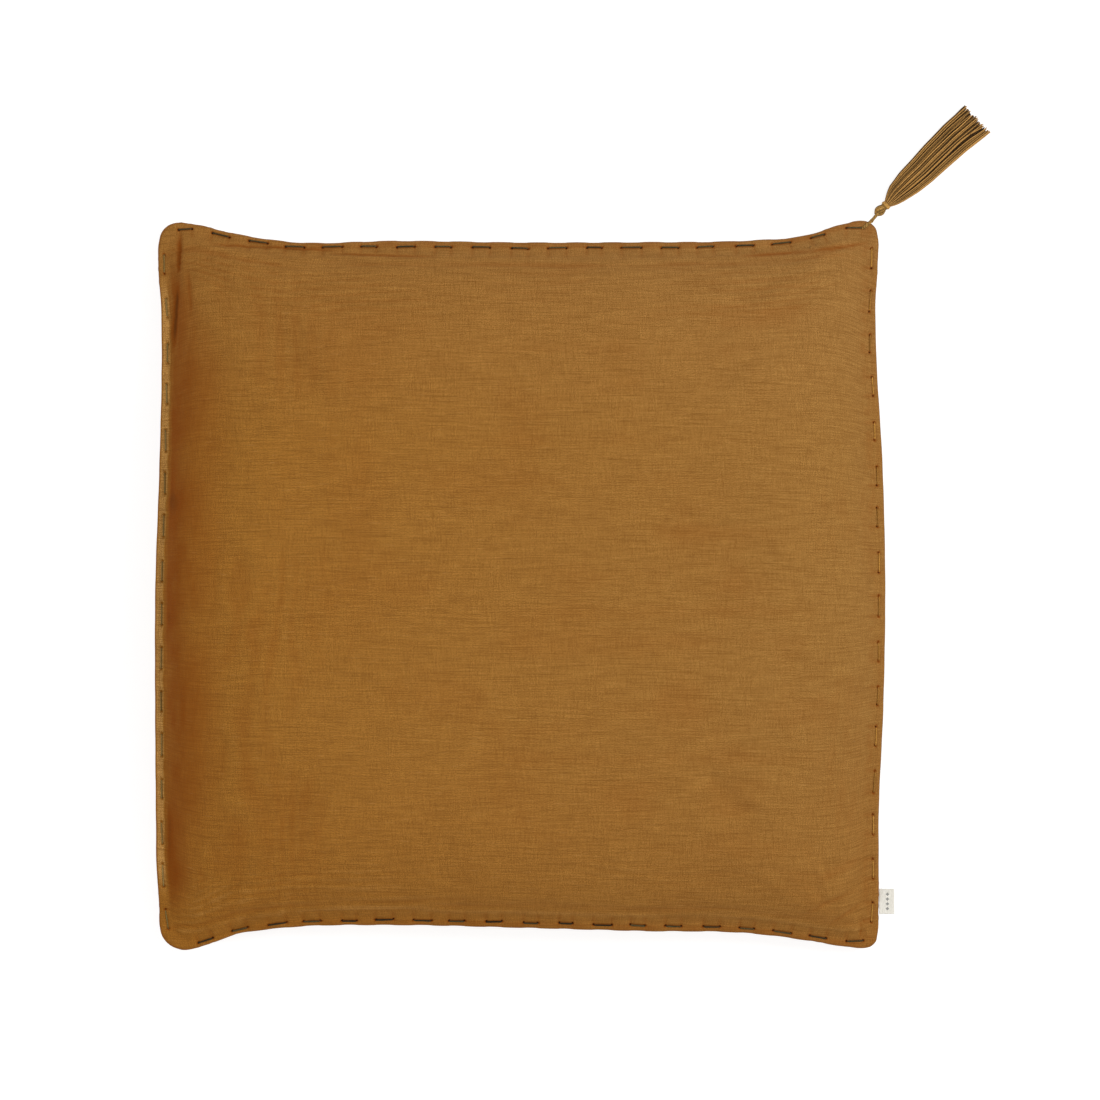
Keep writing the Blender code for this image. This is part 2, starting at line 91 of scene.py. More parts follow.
# Zip
ZIP_Y = -0.170
SLOT_HALF_WIDTH = 0.0042
SLOT_END = 0.219
ROW_END = 0.2045
TAPE_END = 0.225
TAPE_Z = 0.00415
TAPE_HALF_THICKNESS = 0.0002
TAPE_SPAN = (0.0022, 0.0130)  # a tape's inner and outer edge, from the middle of the zip
HEM_TURNS = ((-0.0004, 0.0004), (0.0001, 0.0009), (0.0008, 0.0004), (0.0055, 0.0))  # steps out and up

# Tassel and tab
TASSEL_ANGLE = math.radians(42.7)
KNOT_AT = Vector((0.2938, 0.3043, 0.0212))
HEAD_AT = Vector((0.3010, 0.3129, 0.0048))
HEAD_RADIUS = 0.0043
CORD_CLEARANCE = 0.0004
CORD_PLIES = (0.00068, 0.00082, 0.0046)  # how far apart, radius, pitch of their twist
TAB_SIZE = (0.0120, 0.0210)


# Numbers over whole arrays


def lattice(column, row, seed):
    """A repeatable value from -1 to 1 for each whole-numbered point."""
    mixed = column.astype(np.int64) * 374761393 + row.astype(np.int64) * 668265263 + seed * 974711
    mixed = (mixed ^ (mixed >> 13)) * 1274126177
    return ((mixed ^ (mixed >> 16)) & 0xFFFF) / 32767.5 - 1.0


def ripple(x, y, seed):
    """Smooth noise from -1 to 1, about one bump for each unit of x and y."""
    column, row = np.floor(x), np.floor(y)
    across, up = x - column, y - row
    across = across * across * (3 - 2 * across)
    up = up * up * (3 - 2 * up)
    low = lattice(column, row, seed) * (1 - across) + lattice(column + 1, row, seed) * across
    row = row + 1
    high = lattice(column, row, seed) * (1 - across) + lattice(column + 1, row, seed) * across
    return low * (1 - up) + high * up


def step_up(x, start, end):
    """0 before start, 1 after end, smooth between them."""
    t = np.clip((x - start) / (end - start), 0, 1)
    return t * t * (3 - 2 * t)


def ramp(x, width):
    """0 well before x = 0 and x well after it, with a bend of this width between."""
    return (x + np.sqrt(x * x + width * width)) / 2


def bell(x, middle, width):
    """1 at the middle, falling to nearly 0 at twice the width from it."""
    return np.exp(-(((x - middle) / width) ** 2))


# Outline of the edge


def side_points(side):
    """Plan points of a side's edge, anticlockwise."""
    order = 1 if side in ("right", "bottom") else -1
    pairs = zip(STATIONS, EDGES[side][::order])
    turned = {
        "right": lambda s, d: (d, s),
        "top": lambda s, d: (-s, d),
        "left": lambda s, d: (-d, -s),
        "bottom": lambda s, d: (s, -d),
    }[side]
    return [turned(station, distance) for station, distance in pairs]


def corner_arc(side):
    x, y, radius = CORNERS[side]
    middle = (x - math.copysign(radius, x), y - math.copysign(radius, y))
    start = 90 * SIDES.index(side)
    angles = [math.radians(start + step) for step in (0, 30, 60, 90)]
    return [(middle[0] + radius * math.cos(a), middle[1] + radius * math.sin(a)) for a in angles]


def coarse_outline():
    """The edge's measured points all round, and the first and last of each side's."""
    points, spans = [], {}
    for side in SIDES:
        first = len(points)
        points += side_points(side)
        spans[side] = (first, len(points) - 1)
        points += corner_arc(side)
    return np.array(points), spans


def smooth_through(points, per_span, closed):
    """Points of a smooth curve through the given ones, per_span for each stretch between two of them."""
    if closed:
        padded = np.vstack([points[-1:], points, points[:2]])
    else:
        padded = np.vstack([2 * points[:1] - points[1:2], points, 2 * points[-1:] - points[-2:-1]])
    gaps = np.linalg.norm(np.diff(padded, axis=0), axis=1)[:, None]
    slopes = np.diff(padded, axis=0) / gaps
    tangents = (slopes[:-1] * gaps[1:] + slopes[1:] * gaps[:-1]) / (gaps[:-1] + gaps[1:])
    starts, ends = padded[1:-2], padded[2:-1]
    span = gaps[1:-1]
    t = (np.arange(per_span) / per_span)[None, :, None]
    curve = (2 * t**3 - 3 * t**2 + 1) * starts[:, None] + (3 * t**2 - 2 * t**3) * ends[:, None]
    curve = curve + (t**3 - 2 * t**2 + t) * (span * tangents[:-1])[:, None]
    curve = curve + (t**3 - t**2) * (span * tangents[1:])[:, None]
    curve = curve.reshape(-1, points.shape[1])
    return curve if closed else np.vstack([curve, points[-1:]])


def lengths_along(points):
    """Length of a line up to each of its points."""
    return np.concatenate([[0.0], np.cumsum(np.linalg.norm(np.diff(points, axis=0), axis=1))])


def at_shares(points, shares):
    """Points at these shares of a line's length."""
    along = lengths_along(points)
    return np.column_stack([np.interp(shares * along[-1], along, part) for part in points.T])


COARSE, SPANS = coarse_outline()
PER_SPAN = 40
FINE = smooth_through(COARSE, PER_SPAN, True)
FINE_ANGLE = np.unwrap(np.arctan2(FINE[:, 1], FINE[:, 0]))
FINE_RADIUS = np.linalg.norm(FINE, axis=1)


def outline_radius(plan):
    """Distance from the middle to the edge, in the direction of each plan point."""
    angle = np.arctan2(plan[:, 1], plan[:, 0])
    start = FINE_ANGLE[0]
    turned = np.mod(angle - start, 2 * math.pi)
    table = np.append(FINE_ANGLE - start, 2 * math.pi)
    return np.interp(turned, table, np.append(FINE_RADIUS, FINE_RADIUS[0]))


def depth_of(plan):
    """Inset of plan points from the edge, measured along the line to the middle."""
    return HALF_SIDE * (1 - np.linalg.norm(plan, axis=1) / outline_radius(plan))


def cornerness(plan):
    """0 on a line from the middle to the middle of a side, 1 towards a corner."""
    reach = outline_radius(plan) / np.maximum(np.linalg.norm(plan, axis=1), 1e-9)
    edge = plan * reach[:, None]
    return np.minimum(1.0, np.abs(edge[:, 0] * edge[:, 1]) / HALF_SIDE**2) ** 2


def leftness(plan):
    """1 along the left edge, where the side stands steeper, down to 0 halfway along the top and bottom."""
    return step_up(-plan[:, 0] / np.maximum(np.abs(plan).max(axis=1), 1e-9), 0.5, 1.0)


def seam_height(corner):
    """Height of the edge, by how near it is to a corner."""
    return SEAM_Z + (CORNER_SEAM_Z - SEAM_Z) * corner


def surface(plan, depth, side):
    """Height of the cover over plan points: side +1 is the front, -1 the back."""
    corner = cornerness(plan)
    flank = TOP_FLANK if side > 0 else UNDER_FLANK
    plateau = HEIGHT - CROWN if side > 0 else UNDERSIDE_Z
    reach = flank[0] + (flank[1] - flank[0]) * corner
    seam = seam_height(corner)
    roll = np.clip(depth / EDGE_ROLL, 0, 1)
    lip = SEAM_GAP + (LIP_HALF_THICKNESS - SEAM_GAP) * np.sqrt(1 - (1 - roll) ** 2)
    lip = lip + LIP_PUFF * np.sin(np.clip(depth / LIP_WIDTH, 0, 1) * math.pi)
    bend, power = BESIDE_LIP[0], FLANK_POWER[0]
    if side > 0:
        bend = bend + BESIDE_LIP[1] * np.maximum(1 - leftness(plan), corner)
        power = power + FLANK_POWER[1] * (1 - leftness(plan))
    past = ramp(depth - LIP_WIDTH, bend) - ramp(-LIP_WIDTH, bend)
    along = np.clip(past / reach, 0, 1)
    rise = (1 - (1 - along) ** 2) ** (power + (1 - power) * corner)
    low = seam + side * lip
    z = low + (plateau - low) * rise
    if side > 0:
        level = np.clip((depth - LIP_WIDTH - reach) / (CROWN_START - LIP_WIDTH - reach), 0, 1)
        z = z + CROWN * (1 - (1 - level) ** 2)
    return z


def fabric_place(plan, depth, side):
    """Where a point lies in the flat cloth: the plan, let out by the length that the flank climbs."""
    inset = np.linspace(HALF_SIDE, 0, 400)
    line = np.stack([np.zeros(400), HALF_SIDE - inset], 1)
    height = surface(line, inset, side)
    climbed = np.cumsum(np.hypot(np.diff(inset), np.diff(height))) - np.cumsum(-np.diff(inset))
    extra = np.interp(depth, inset[:0:-1], climbed[::-1])
    radius = np.maximum(np.linalg.norm(plan, axis=1), 1e-6)
    return plan * (1 + extra / radius)[:, None]


# Stitches along the edge


def stitch_row(side):
    """The line that a side's stitches follow."""
    first, last = SPANS[side]
    picked = [i % len(COARSE) for i in range(first - 2, last + 3)]
    return COARSE[picked] * (1 - STITCH_INSET / HALF_SIDE)


def make_stitches():
    """(start, end) of every hand stitch in plan, side by side, a little uneven as a hand leaves them."""
    rng = random.Random(11)
    stitches = {}
    for side in SIDES:
        count, length, before, after = STITCHES[side]
        row = stitch_row(side)
        total = lengths_along(row)[-1]
        pitch = (total - before - after - length) / (count - 1)
        stitches[side] = []
        for i in range(count):
            start = before + i * pitch + rng.uniform(-1.5, 1.5) * MM
            end = before + i * pitch + length + rng.uniform(-2.0, 1.5) * MM
            ends = at_shares(row, np.array([start, end]) / total)
            heading = ends[1] - ends[0]
            inwards = np.array([-heading[1], heading[0]]) / np.linalg.norm(heading)
            ends = ends + inwards * np.array([[rng.uniform(-0.5, 0.5)], [rng.uniform(-0.5, 0.5)]]) * MM
            stitches[side].append((ends[0], ends[1]))
    return stitches


STITCH_ENDS = make_stitches()


# Folds and wrinkles


def from_segment(plan, a, b):
    """Distance from a segment, and a weight that fades towards its ends."""
    a, b = np.array(a), np.array(b)
    step = b - a
    length = np.linalg.norm(step)
    share = (plan - a) @ step / length**2
    held = np.clip(share, 0, 1)
    distance = np.linalg.norm(plan - (a + held[:, None] * step), axis=1)
    fade = step_up(share, -0.2, 0.35) * (1 - step_up(share, 0.65, 1.2))
    return distance, fade


FOLD_LINES = [  # ends in plan, half width, height (negative is a valley), how much painted shade it gets
    ((-0.2832, 0.2940), (-0.2850, 0.2560), 0.0024, -0.0015, 0.70),
    ((-0.2846, 0.2600), (-0.2888, 0.1900), 0.0034, -0.0013, 0.82),
    ((-0.2765, 0.2640), (-0.2730, 0.2180), 0.0026, -0.0009, 0.46),
    ((-0.2795, 0.2900), (-0.2800, 0.2350), 0.0024, 0.0007, 0.0),
    ((-0.2580, 0.2844), (-0.2100, 0.2822), 0.0013, -0.0009, 0.42),
    ((-0.2230, 0.2828), (-0.1480, 0.2787), 0.0013, -0.0009, 0.46),
    ((-0.1580, 0.2764), (-0.0700, 0.2730), 0.0013, -0.0009, 0.42),
    ((0.1850, 0.2738), (0.2480, 0.2786), 0.0015, -0.0010, 0.46),
    ((0.2380, 0.2776), (0.2900, 0.2856), 0.0015, -0.0010, 0.46),
    ((0.2180, 0.2700), (0.2740, 0.2760), 0.0013, -0.0006, 0.20),
    ((0.2480, -0.2470), (0.2860, -0.2250), 0.0034, -0.0008, 0.14),
    ((0.2350, -0.2760), (0.2780, -0.2540), 0.0018, -0.0010, 0.18),
    ((0.2540, -0.2860), (0.2860, -0.2640), 0.0016, -0.0009, 0.18),
    ((-0.2860, -0.2860), (-0.2480, -0.2520), 0.0040, -0.0007, 0.06),
    ((-0.2760, -0.2900), (-0.2150, -0.2660), 0.0034, -0.0007, 0.08),
    ((-0.2400, -0.2590), (-0.0900, -0.2570), 0.0013, -0.0007, 0.10),
    ((-0.2200, -0.2720), (-0.0800, -0.2690), 0.0013, -0.0007, 0.10),
    ((0.0200, -0.2690), (0.1600, -0.2720), 0.0016, -0.0008, 0.10),
    ((0.2960, -0.2765), (0.2890, -0.2790), 0.0008, -0.0005, 0.45),
    ((0.2900, -0.2780), (0.2855, -0.2815), 0.0008, -0.0005, 0.45),
    ((0.2858, -0.2805), (0.2838, -0.2940), 0.0008, -0.0005, 0.45),
]


FULL_WRINKLE = 0.0009  # a wrinkle of this height or depth has its full painted shade or highlight


def edge_gaps(plan):
    """Distance from the top, bottom, left and right edge, each following that edge's own line."""
    x, y = plan.T
    top, bottom = (np.interp(x, STATIONS, EDGES[side]) for side in ("top", "bottom"))
    left, right = (np.interp(y, STATIONS, EDGES[side]) for side in ("left", "right"))
    return top - y, y + bottom, x + left, right - x


def bands(gap, along, near, far, pitch, seed):
    """Uneven wrinkles that run along an edge, between two distances from it."""
    drift = 0.9 * ripple(along / 0.11, gap / 0.045, seed)
    drift = drift + 0.35 * ripple(along / 0.035, gap / 0.02, seed + 1)
    strength = 0.55 + 0.45 * ripple(along / 0.07, gap / 0.018, seed + 2)
    window = step_up(gap, near, near * 1.4) * (1 - step_up(gap, far * 0.55, far))
    return window * strength * np.sin(2 * math.pi * (gap / pitch + drift))


def wrinkles(plan, depth):
    """The front's wrinkles and folds: (height, painted shade in hollows, painted highlight on crests)."""
    x, y = plan.T
    top, bottom, left, right = edge_gaps(plan)
    height = 0.00052 * bands(top, x, 0.015, 0.080, 0.0064, 3)
    height += 0.00066 * bands(bottom, x, 0.013, 0.075, 0.0058, 9)
    height += 0.00034 * bands(left, y, 0.030, 0.190, 0.0170, 15)
    height += 0.00020 * bands(right, y, 0.012, 0.060, 0.0120, 21)
    for gap, seed in ((top, 27), (bottom, 31)):  # a roll beside the lip
        sway = 0.0012 * ripple(x / 0.05, x * 0, seed)
        height += 0.0007 * bell(gap, 0.0150 + sway, 0.0022) - 0.0006 * bell(gap, 0.0195 + sway, 0.0020)
    crosswise = ripple(y / 0.011, x / 0.16, 37) * step_up(x, -0.10, 0.12)
    height += 0.00030 * crosswise * step_up(depth, 0.03, 0.06)
    height += 0.00035 * ripple(x / 0.045, y / 0.045, 41)  # dents in the filling, then crinkles
    height += 0.00010 * ripple(x / 0.009, y / 0.007, 43) + 0.00007 * ripple(x / 0.0045, y / 0.0036, 45)
    for side in ("left", "bottom"):  # folds that fan out from the lower corners
        corner = np.array(CORNERS[side][:2])
        away = plan - corner
        reach = np.linalg.norm(away, axis=1)
        turn = np.arctan2(away[:, 1], away[:, 0])
        spread = np.cos(9 * turn + 1.5 * ripple(reach / 0.05, turn * 2, 47)) * bell(reach, 0.060, 0.034)
        height += 0.00035 * spread * step_up(depth, 0.012, 0.03)
    height *= step_up(depth, LIP_WIDTH, LIP_WIDTH + 0.004)
    low = bell(bottom, 0.026, 0.026)
    # painted shade in the wrinkles' hollows, and a painted highlight on their crests near the bottom
    hollow = np.clip(-height / FULL_WRINKLE, 0, 1) * (0.21 + 0.05 * leftness(plan) - 0.10 * low)
    painted_crest_light = 0.22 * low * np.clip(height / FULL_WRINKLE - 0.2, 0, 1)
    for a, b, width, lift, darker in FOLD_LINES:
        distance, fade = from_segment(plan, a, b)
        shape = bell(distance, 0, width) * fade
        height += lift * shape
        hollow = np.maximum(hollow, shape * darker)
    return height, hollow, painted_crest_light


def stitch_marks(plan, depth, side):
    """What the hand stitches do to the edge: (height, painted shade, plan shift)."""
    height = np.zeros(len(plan))
    hollow = np.zeros(len(plan))
    shift = np.zeros_like(plan)
    close = np.where(depth < 0.03)[0]
    near = plan[close]
    inset = depth[close]
    for row in SIDES:
        drawn, shaded, pierced = STITCH_LOOKS[row]
        for start, end in STITCH_ENDS[row]:
            middle = (start + end) / 2
            half = np.linalg.norm(end - start) / 2
            pick = np.where(np.abs(near - middle).max(axis=1) < half + 0.02)[0]
            along = (near[pick] - middle) @ (end - start) / (2 * half)
            normal = np.array([-(end - start)[1], (end - start)[0]]) / (2 * half)
            across = (near[pick] - middle) @ normal
            under = np.exp(-((along / half) ** 6))
            spot = close[pick]
            pull = under * (1 - step_up(inset[pick], 0.004, 0.010))
            shift[spot] += drawn * pull[:, None] * normal
            if side < 0:
                continue
            # painted shade under the thread, at its holes and beside its puckers
            press = under * bell(across, 0, 0.0013)
            height[spot] -= 0.0006 * press
            hollow[spot] = np.maximum(hollow[spot], shaded * press)
            for reach in (-half, half):
                gap = np.hypot(along - reach, across)
                height[spot] -= 0.0012 * bell(gap, 0, 0.0010)
                hollow[spot] = np.maximum(hollow[spot], pierced * bell(gap, 0, 0.0011))
                pucker = bell(along, reach, 0.0020) * bell(across, 0.004, 0.0045)
                height[spot] -= 0.0006 * pucker
                hollow[spot] = np.maximum(hollow[spot], 0.2 * pucker)
            between = bell(np.abs(along), half + 0.0075, 0.0045) * bell(across, 0.0005, 0.0035)
            height[spot] += 0.00045 * between
    return height, hollow, shift


# Meshes


def placed(name, data):
    """A new object in the scene."""
    obj = bpy.data.objects.new(name, data)
    bpy.context.scene.collection.objects.link(obj)
    return obj


def mesh_object(name, verts, faces, material, vectors=None, values=None):
    """A smooth mesh. vectors and values are point attributes that its material reads."""
    mesh = bpy.data.meshes.new(name)
    mesh.from_pydata(np.asarray(verts).tolist(), [], faces)
    mesh.update()
    mesh.shade_smooth()
    for table, kind, field in ((vectors, "FLOAT_VECTOR", "vector"), (values, "FLOAT", "value")):
        for key, data in (table or {}).items():
            attribute = mesh.attributes.new(key, kind, "POINT")
            attribute.data.foreach_set(field, np.asarray(data, np.float32).ravel())
    mesh.materials.append(material)
    return placed(name, mesh)


def read_points(mesh, key):
    """A vector of each of a mesh's points, as an array."""
    values = np.zeros(len(mesh.vertices) * 3, np.float32)
    mesh.vertices.foreach_get(key, values)
    return values.reshape(-1, 3).astype(float)


def normals_of(verts, faces):
    """Vertex normals of a mesh given as arrays."""
    mesh = bpy.data.meshes.new("normals")
    mesh.from_pydata(verts.tolist(), [], faces)
    mesh.update()
    normals = read_points(mesh, "normal")
    bpy.data.meshes.remove(mesh)
    return normals


def grid_faces(rows, columns, first=0):
    """Faces of a grid with this many rows and columns of cells, from its first point on."""
    stride = columns + 1
    corners = [first + row * stride + column for row in range(rows) for column in range(columns)]
    return [(a, a + 1, a + 1 + stride, a + stride) for a in corners]


def ring_faces(rings, around, first=0):
    """Faces between closed rings of points that follow one another."""
    faces = []
    for base in range(first, first + (rings - 1) * around, around):
        for k in range(around):
            j = (k + 1) % around
            faces.append((base + k, base + j, base + around + j, base + around + k))
    return faces


def slab_faces(rows, columns, sign):
    """Faces of a thin slab: a grid, the same grid below it, and the rim. A sign of -1 turns it over."""
    stride = columns + 1
    block = stride * (rows + 1)
    faces = [face[::sign] for face in grid_faces(rows, columns)]
    faces += [face[::-sign] for face in grid_faces(rows, columns, block)]
    for row, turn in ((0, -sign), (rows, sign)):
        starts = [row * stride + column for column in range(columns)]
        faces += [(a, a + 1, a + 1 + block, a + block)[::turn] for a in starts]
    for column, turn in ((0, sign), (columns, -sign)):
        starts = [row * stride + column for row in range(rows)]
        faces += [(a, a + stride, a + stride + block, a + block)[::turn] for a in starts]
    return faces


GRID_SIDE = 0.568  # length of a side of the cover's even grid
CLOSE_LENGTH = 0.046  # how much of it, from each end, has closer lines


def cell_shares(cells, close_cells):
    """Shares of a side's length at which the grid's lines cross it: close together near its ends."""
    close = np.linspace(0, CLOSE_LENGTH, close_cells + 1)
    middle = np.linspace(CLOSE_LENGTH, GRID_SIDE - CLOSE_LENGTH, cells - 2 * close_cells + 1)
    lengths = np.concatenate([close[:-1], middle, GRID_SIDE - close[::-1][1:], [GRID_SIDE]])
    return lengths[: cells + 1] / GRID_SIDE


def outer_side(index):
    """The edge from the middle of one corner to the middle of the next, anticlockwise."""
    side = SIDES[index]
    first, last = SPANS[side]
    start = int((first - 2.5) * PER_SPAN)
    stop = int((last + 2.5) * PER_SPAN)
    return FINE[np.arange(start, stop + 1) % len(FINE)]


INNER_DEPTH = 0.0155
INNER_CORNER = 0.93


def inner_side(index):
    """The same side of the square-cornered loop that bounds the cover's even grid."""
    side, before = SIDES[index], SIDES[index - 1]
    points = np.array(side_points(side)) * (1 - INNER_DEPTH / HALF_SIDE)
    ends = [np.array(CORNERS[s][:2]) * INNER_CORNER for s in (before, side)]
    return smooth_through(np.vstack([ends[0], points, ends[1]]), PER_SPAN, False)


def even_grid(shares):
    """Plan points of a square grid stretched between the four inner sides, its lines at these shares."""
    right, top, left, bottom = (at_shares(inner_side(i), shares) for i in range(4))
    top, left = top[::-1], left[::-1]
    u, v = shares[None, :, None], shares[:, None, None]
    ruled = (1 - v) * bottom[None] + v * top[None] + (1 - u) * left[:, None] + u * right[:, None]
    low = (1 - u) * bottom[0] + u * bottom[-1]
    high = (1 - u) * top[0] + u * top[-1]
    return (ruled - (1 - v) * low - v * high).reshape(-1, 2)


def cover_layout(cells, close_cells, split, rings):
    """Plan points, insets and faces of a cover side: rings along the edge, then a square grid."""
    shares = cell_shares(cells, close_cells)
    steps = np.arange(cells * split) / split
    fine = np.interp(steps, np.arange(cells + 1), shares)
    outer = np.vstack([at_shares(outer_side(i), fine) for i in range(4)])
    inner = np.vstack([at_shares(inner_side(i), fine) for i in range(4)])
    plans, insets = [], []
    for depth in rings:
        mix = step_up(np.array(depth), LIP_WIDTH, INNER_DEPTH)
        plans.append(outer * (1 - abs(depth) / HALF_SIDE) * (1 - mix) + inner * mix)
        insets.append(np.full(len(outer), depth))
    around = len(outer)
    faces = ring_faces(len(rings), around)
    first = len(rings) * around
    stride = cells + 1
    plans.append(even_grid(shares))
    insets.append(np.full(stride * stride, np.nan))
    faces += grid_faces(cells, cells, first)
    last = first - around
    right_ids = [first + row * stride + cells for row in range(cells)]
    top_ids = [first + cells * stride + cells - column for column in range(cells)]
    left_ids = [first + (cells - row) * stride for row in range(cells)]
    bottom_ids = [first + column for column in range(cells)]
    loop = right_ids + top_ids + left_ids + bottom_ids
    for i in range(len(loop)):
        j = (i + 1) % len(loop)
        fan = [last + (i * split + k) % around for k in range(split + 1)]
        half = split // 2 + 1
        for k in range(split):
            apex = loop[i] if k < half else loop[j]
            faces.append((fan[k], fan[k + 1], apex))
            if k == half - 1:
                faces.append((fan[k + 1], loop[j], loop[i]))
    return np.vstack(plans), np.concatenate(insets), faces


LIP_RINGS = [0.0, 0.0003, 0.0007, 0.0012, 0.0019, 0.0027, 0.0035, 0.0042, 0.0049, 0.0056, 0.0064, 0.0073]
FLANK_RINGS = [LIP_WIDTH + 0.0062 * share**1.5 for share in np.linspace(0, 1, 10)]
HEM_RINGS = [-0.0070, -0.0030, -0.0006]  # the seam allowance, turned in under the lip


def cover_shape(side, cells, close_cells, split):
    """One side of the cover, before wrinkles: plan, inset, which points are hem, height and faces."""
    rings = HEM_RINGS + LIP_RINGS + FLANK_RINGS
    plan, inset, faces = cover_layout(cells, close_cells, split, rings)
    hem = inset < 0
    depth = np.where(np.isnan(inset) | (inset > LIP_WIDTH), depth_of(plan), np.abs(inset))
    z = surface(plan, depth, side)
    seam = seam_height(cornerness(plan))
    z = np.where(hem, seam + side * (SEAM_GAP + 0.0002 * step_up(depth, 0, 0.003)), z)
    if side < 0:
        faces = [face[::-1] for face in faces]
    return plan, depth, hem, z, faces


# Cloth


CLOTH_SETTINGS = {
    "quality": 5,
    "mass": 0.2,
    "air_damping": 3.0,
    "tension_stiffness": 22,
    "compression_stiffness": 14,
    "shear_stiffness": 6,
    "bending_stiffness": 0.6,
    "shrink_min": -0.005,
    "use_pressure": True,
    "uniform_pressure_force": 4.0,
    "vertex_group_mass": "held",
}


def inflate(plan, z, faces, held):
    """Lets air into a panel whose held points stay put, and returns how far each point moved."""
    mesh = bpy.data.meshes.new("panel")
    mesh.from_pydata(np.column_stack([plan, z]).tolist(), [], faces)
    obj = placed("panel", mesh)
    scene = bpy.context.scene
    group = obj.vertex_groups.new(name="held")
    group.add([int(i) for i in np.where(held)[0]], 1.0, "REPLACE")
    cloth = obj.modifiers.new("cloth", "CLOTH")
    for key, value in CLOTH_SETTINGS.items():
        setattr(cloth.settings, key, value)
    cloth.settings.effector_weights.gravity = 0.0
    cloth.collision_settings.use_collision = False
    for number in range(1, SIM_FRAMES + 1):
        scene.frame_set(number)
    graph = bpy.context.evaluated_depsgraph_get()
    travel = read_points(obj.evaluated_get(graph).data, "co") - np.column_stack([plan, z])
    bpy.data.objects.remove(obj)
    bpy.data.meshes.remove(mesh)
    scene.frame_set(1)
    return travel


SIM_FRAMES = 20
SIM_CELLS = 104
SIM_CAP = 0.006  # the furthest that a point may travel
SIM_SHARE = 0.6  # the filling takes up the rest of the slack
SIM_START = 0.004  # the panel starts this much lower in the middle, because it swells


def simulated_travel(side):
    """How an inflated panel differs from the plain surface, on an even grid of the unit square."""
    shares = np.linspace(0, 1, SIM_CELLS + 1)
    plan = even_grid(shares)
    stride = SIM_CELLS + 1
    depth = depth_of(plan)
    z = surface(plan, depth, side)
    lowered = SIM_START * step_up(depth, INNER_DEPTH, 0.12)
    rows, columns = np.divmod(np.arange(stride * stride), stride)
    held = (rows == 0) | (rows == SIM_CELLS) | (columns == 0) | (columns == SIM_CELLS)
    travel = inflate(plan, z - side * lowered, grid_faces(SIM_CELLS, SIM_CELLS), held)
    size = np.linalg.norm(travel, axis=1)
    travel = travel * np.minimum(1, SIM_CAP / np.maximum(size, 1e-9))[:, None]
    travel[:, 2] -= side * lowered
    free = step_up(depth, INNER_DEPTH, INNER_DEPTH + 0.035)
    return (SIM_SHARE * travel * free[:, None]).reshape(stride, stride, 3)


def sampled(field, shares):
    """The travel field at a finer grid's lines, by cubic interpolation."""
    spots = shares * (len(field) - 1)
    base = np.clip(np.floor(spots).astype(int), 1, len(field) - 3)
    t = spots - base
    weights = [-t * (t - 1) * (t - 2) / 6, (t + 1) * (t - 1) * (t - 2) / 2]
    weights += [-(t + 1) * t * (t - 2) / 2, (t + 1) * t * (t - 1) / 6]
    rows = sum(w[:, None, None] * field[base + k - 1] for k, w in enumerate(weights))
    columns = sum(w[None, :, None] * rows[:, base + k - 1] for k, w in enumerate(weights))
    return columns


# Materials


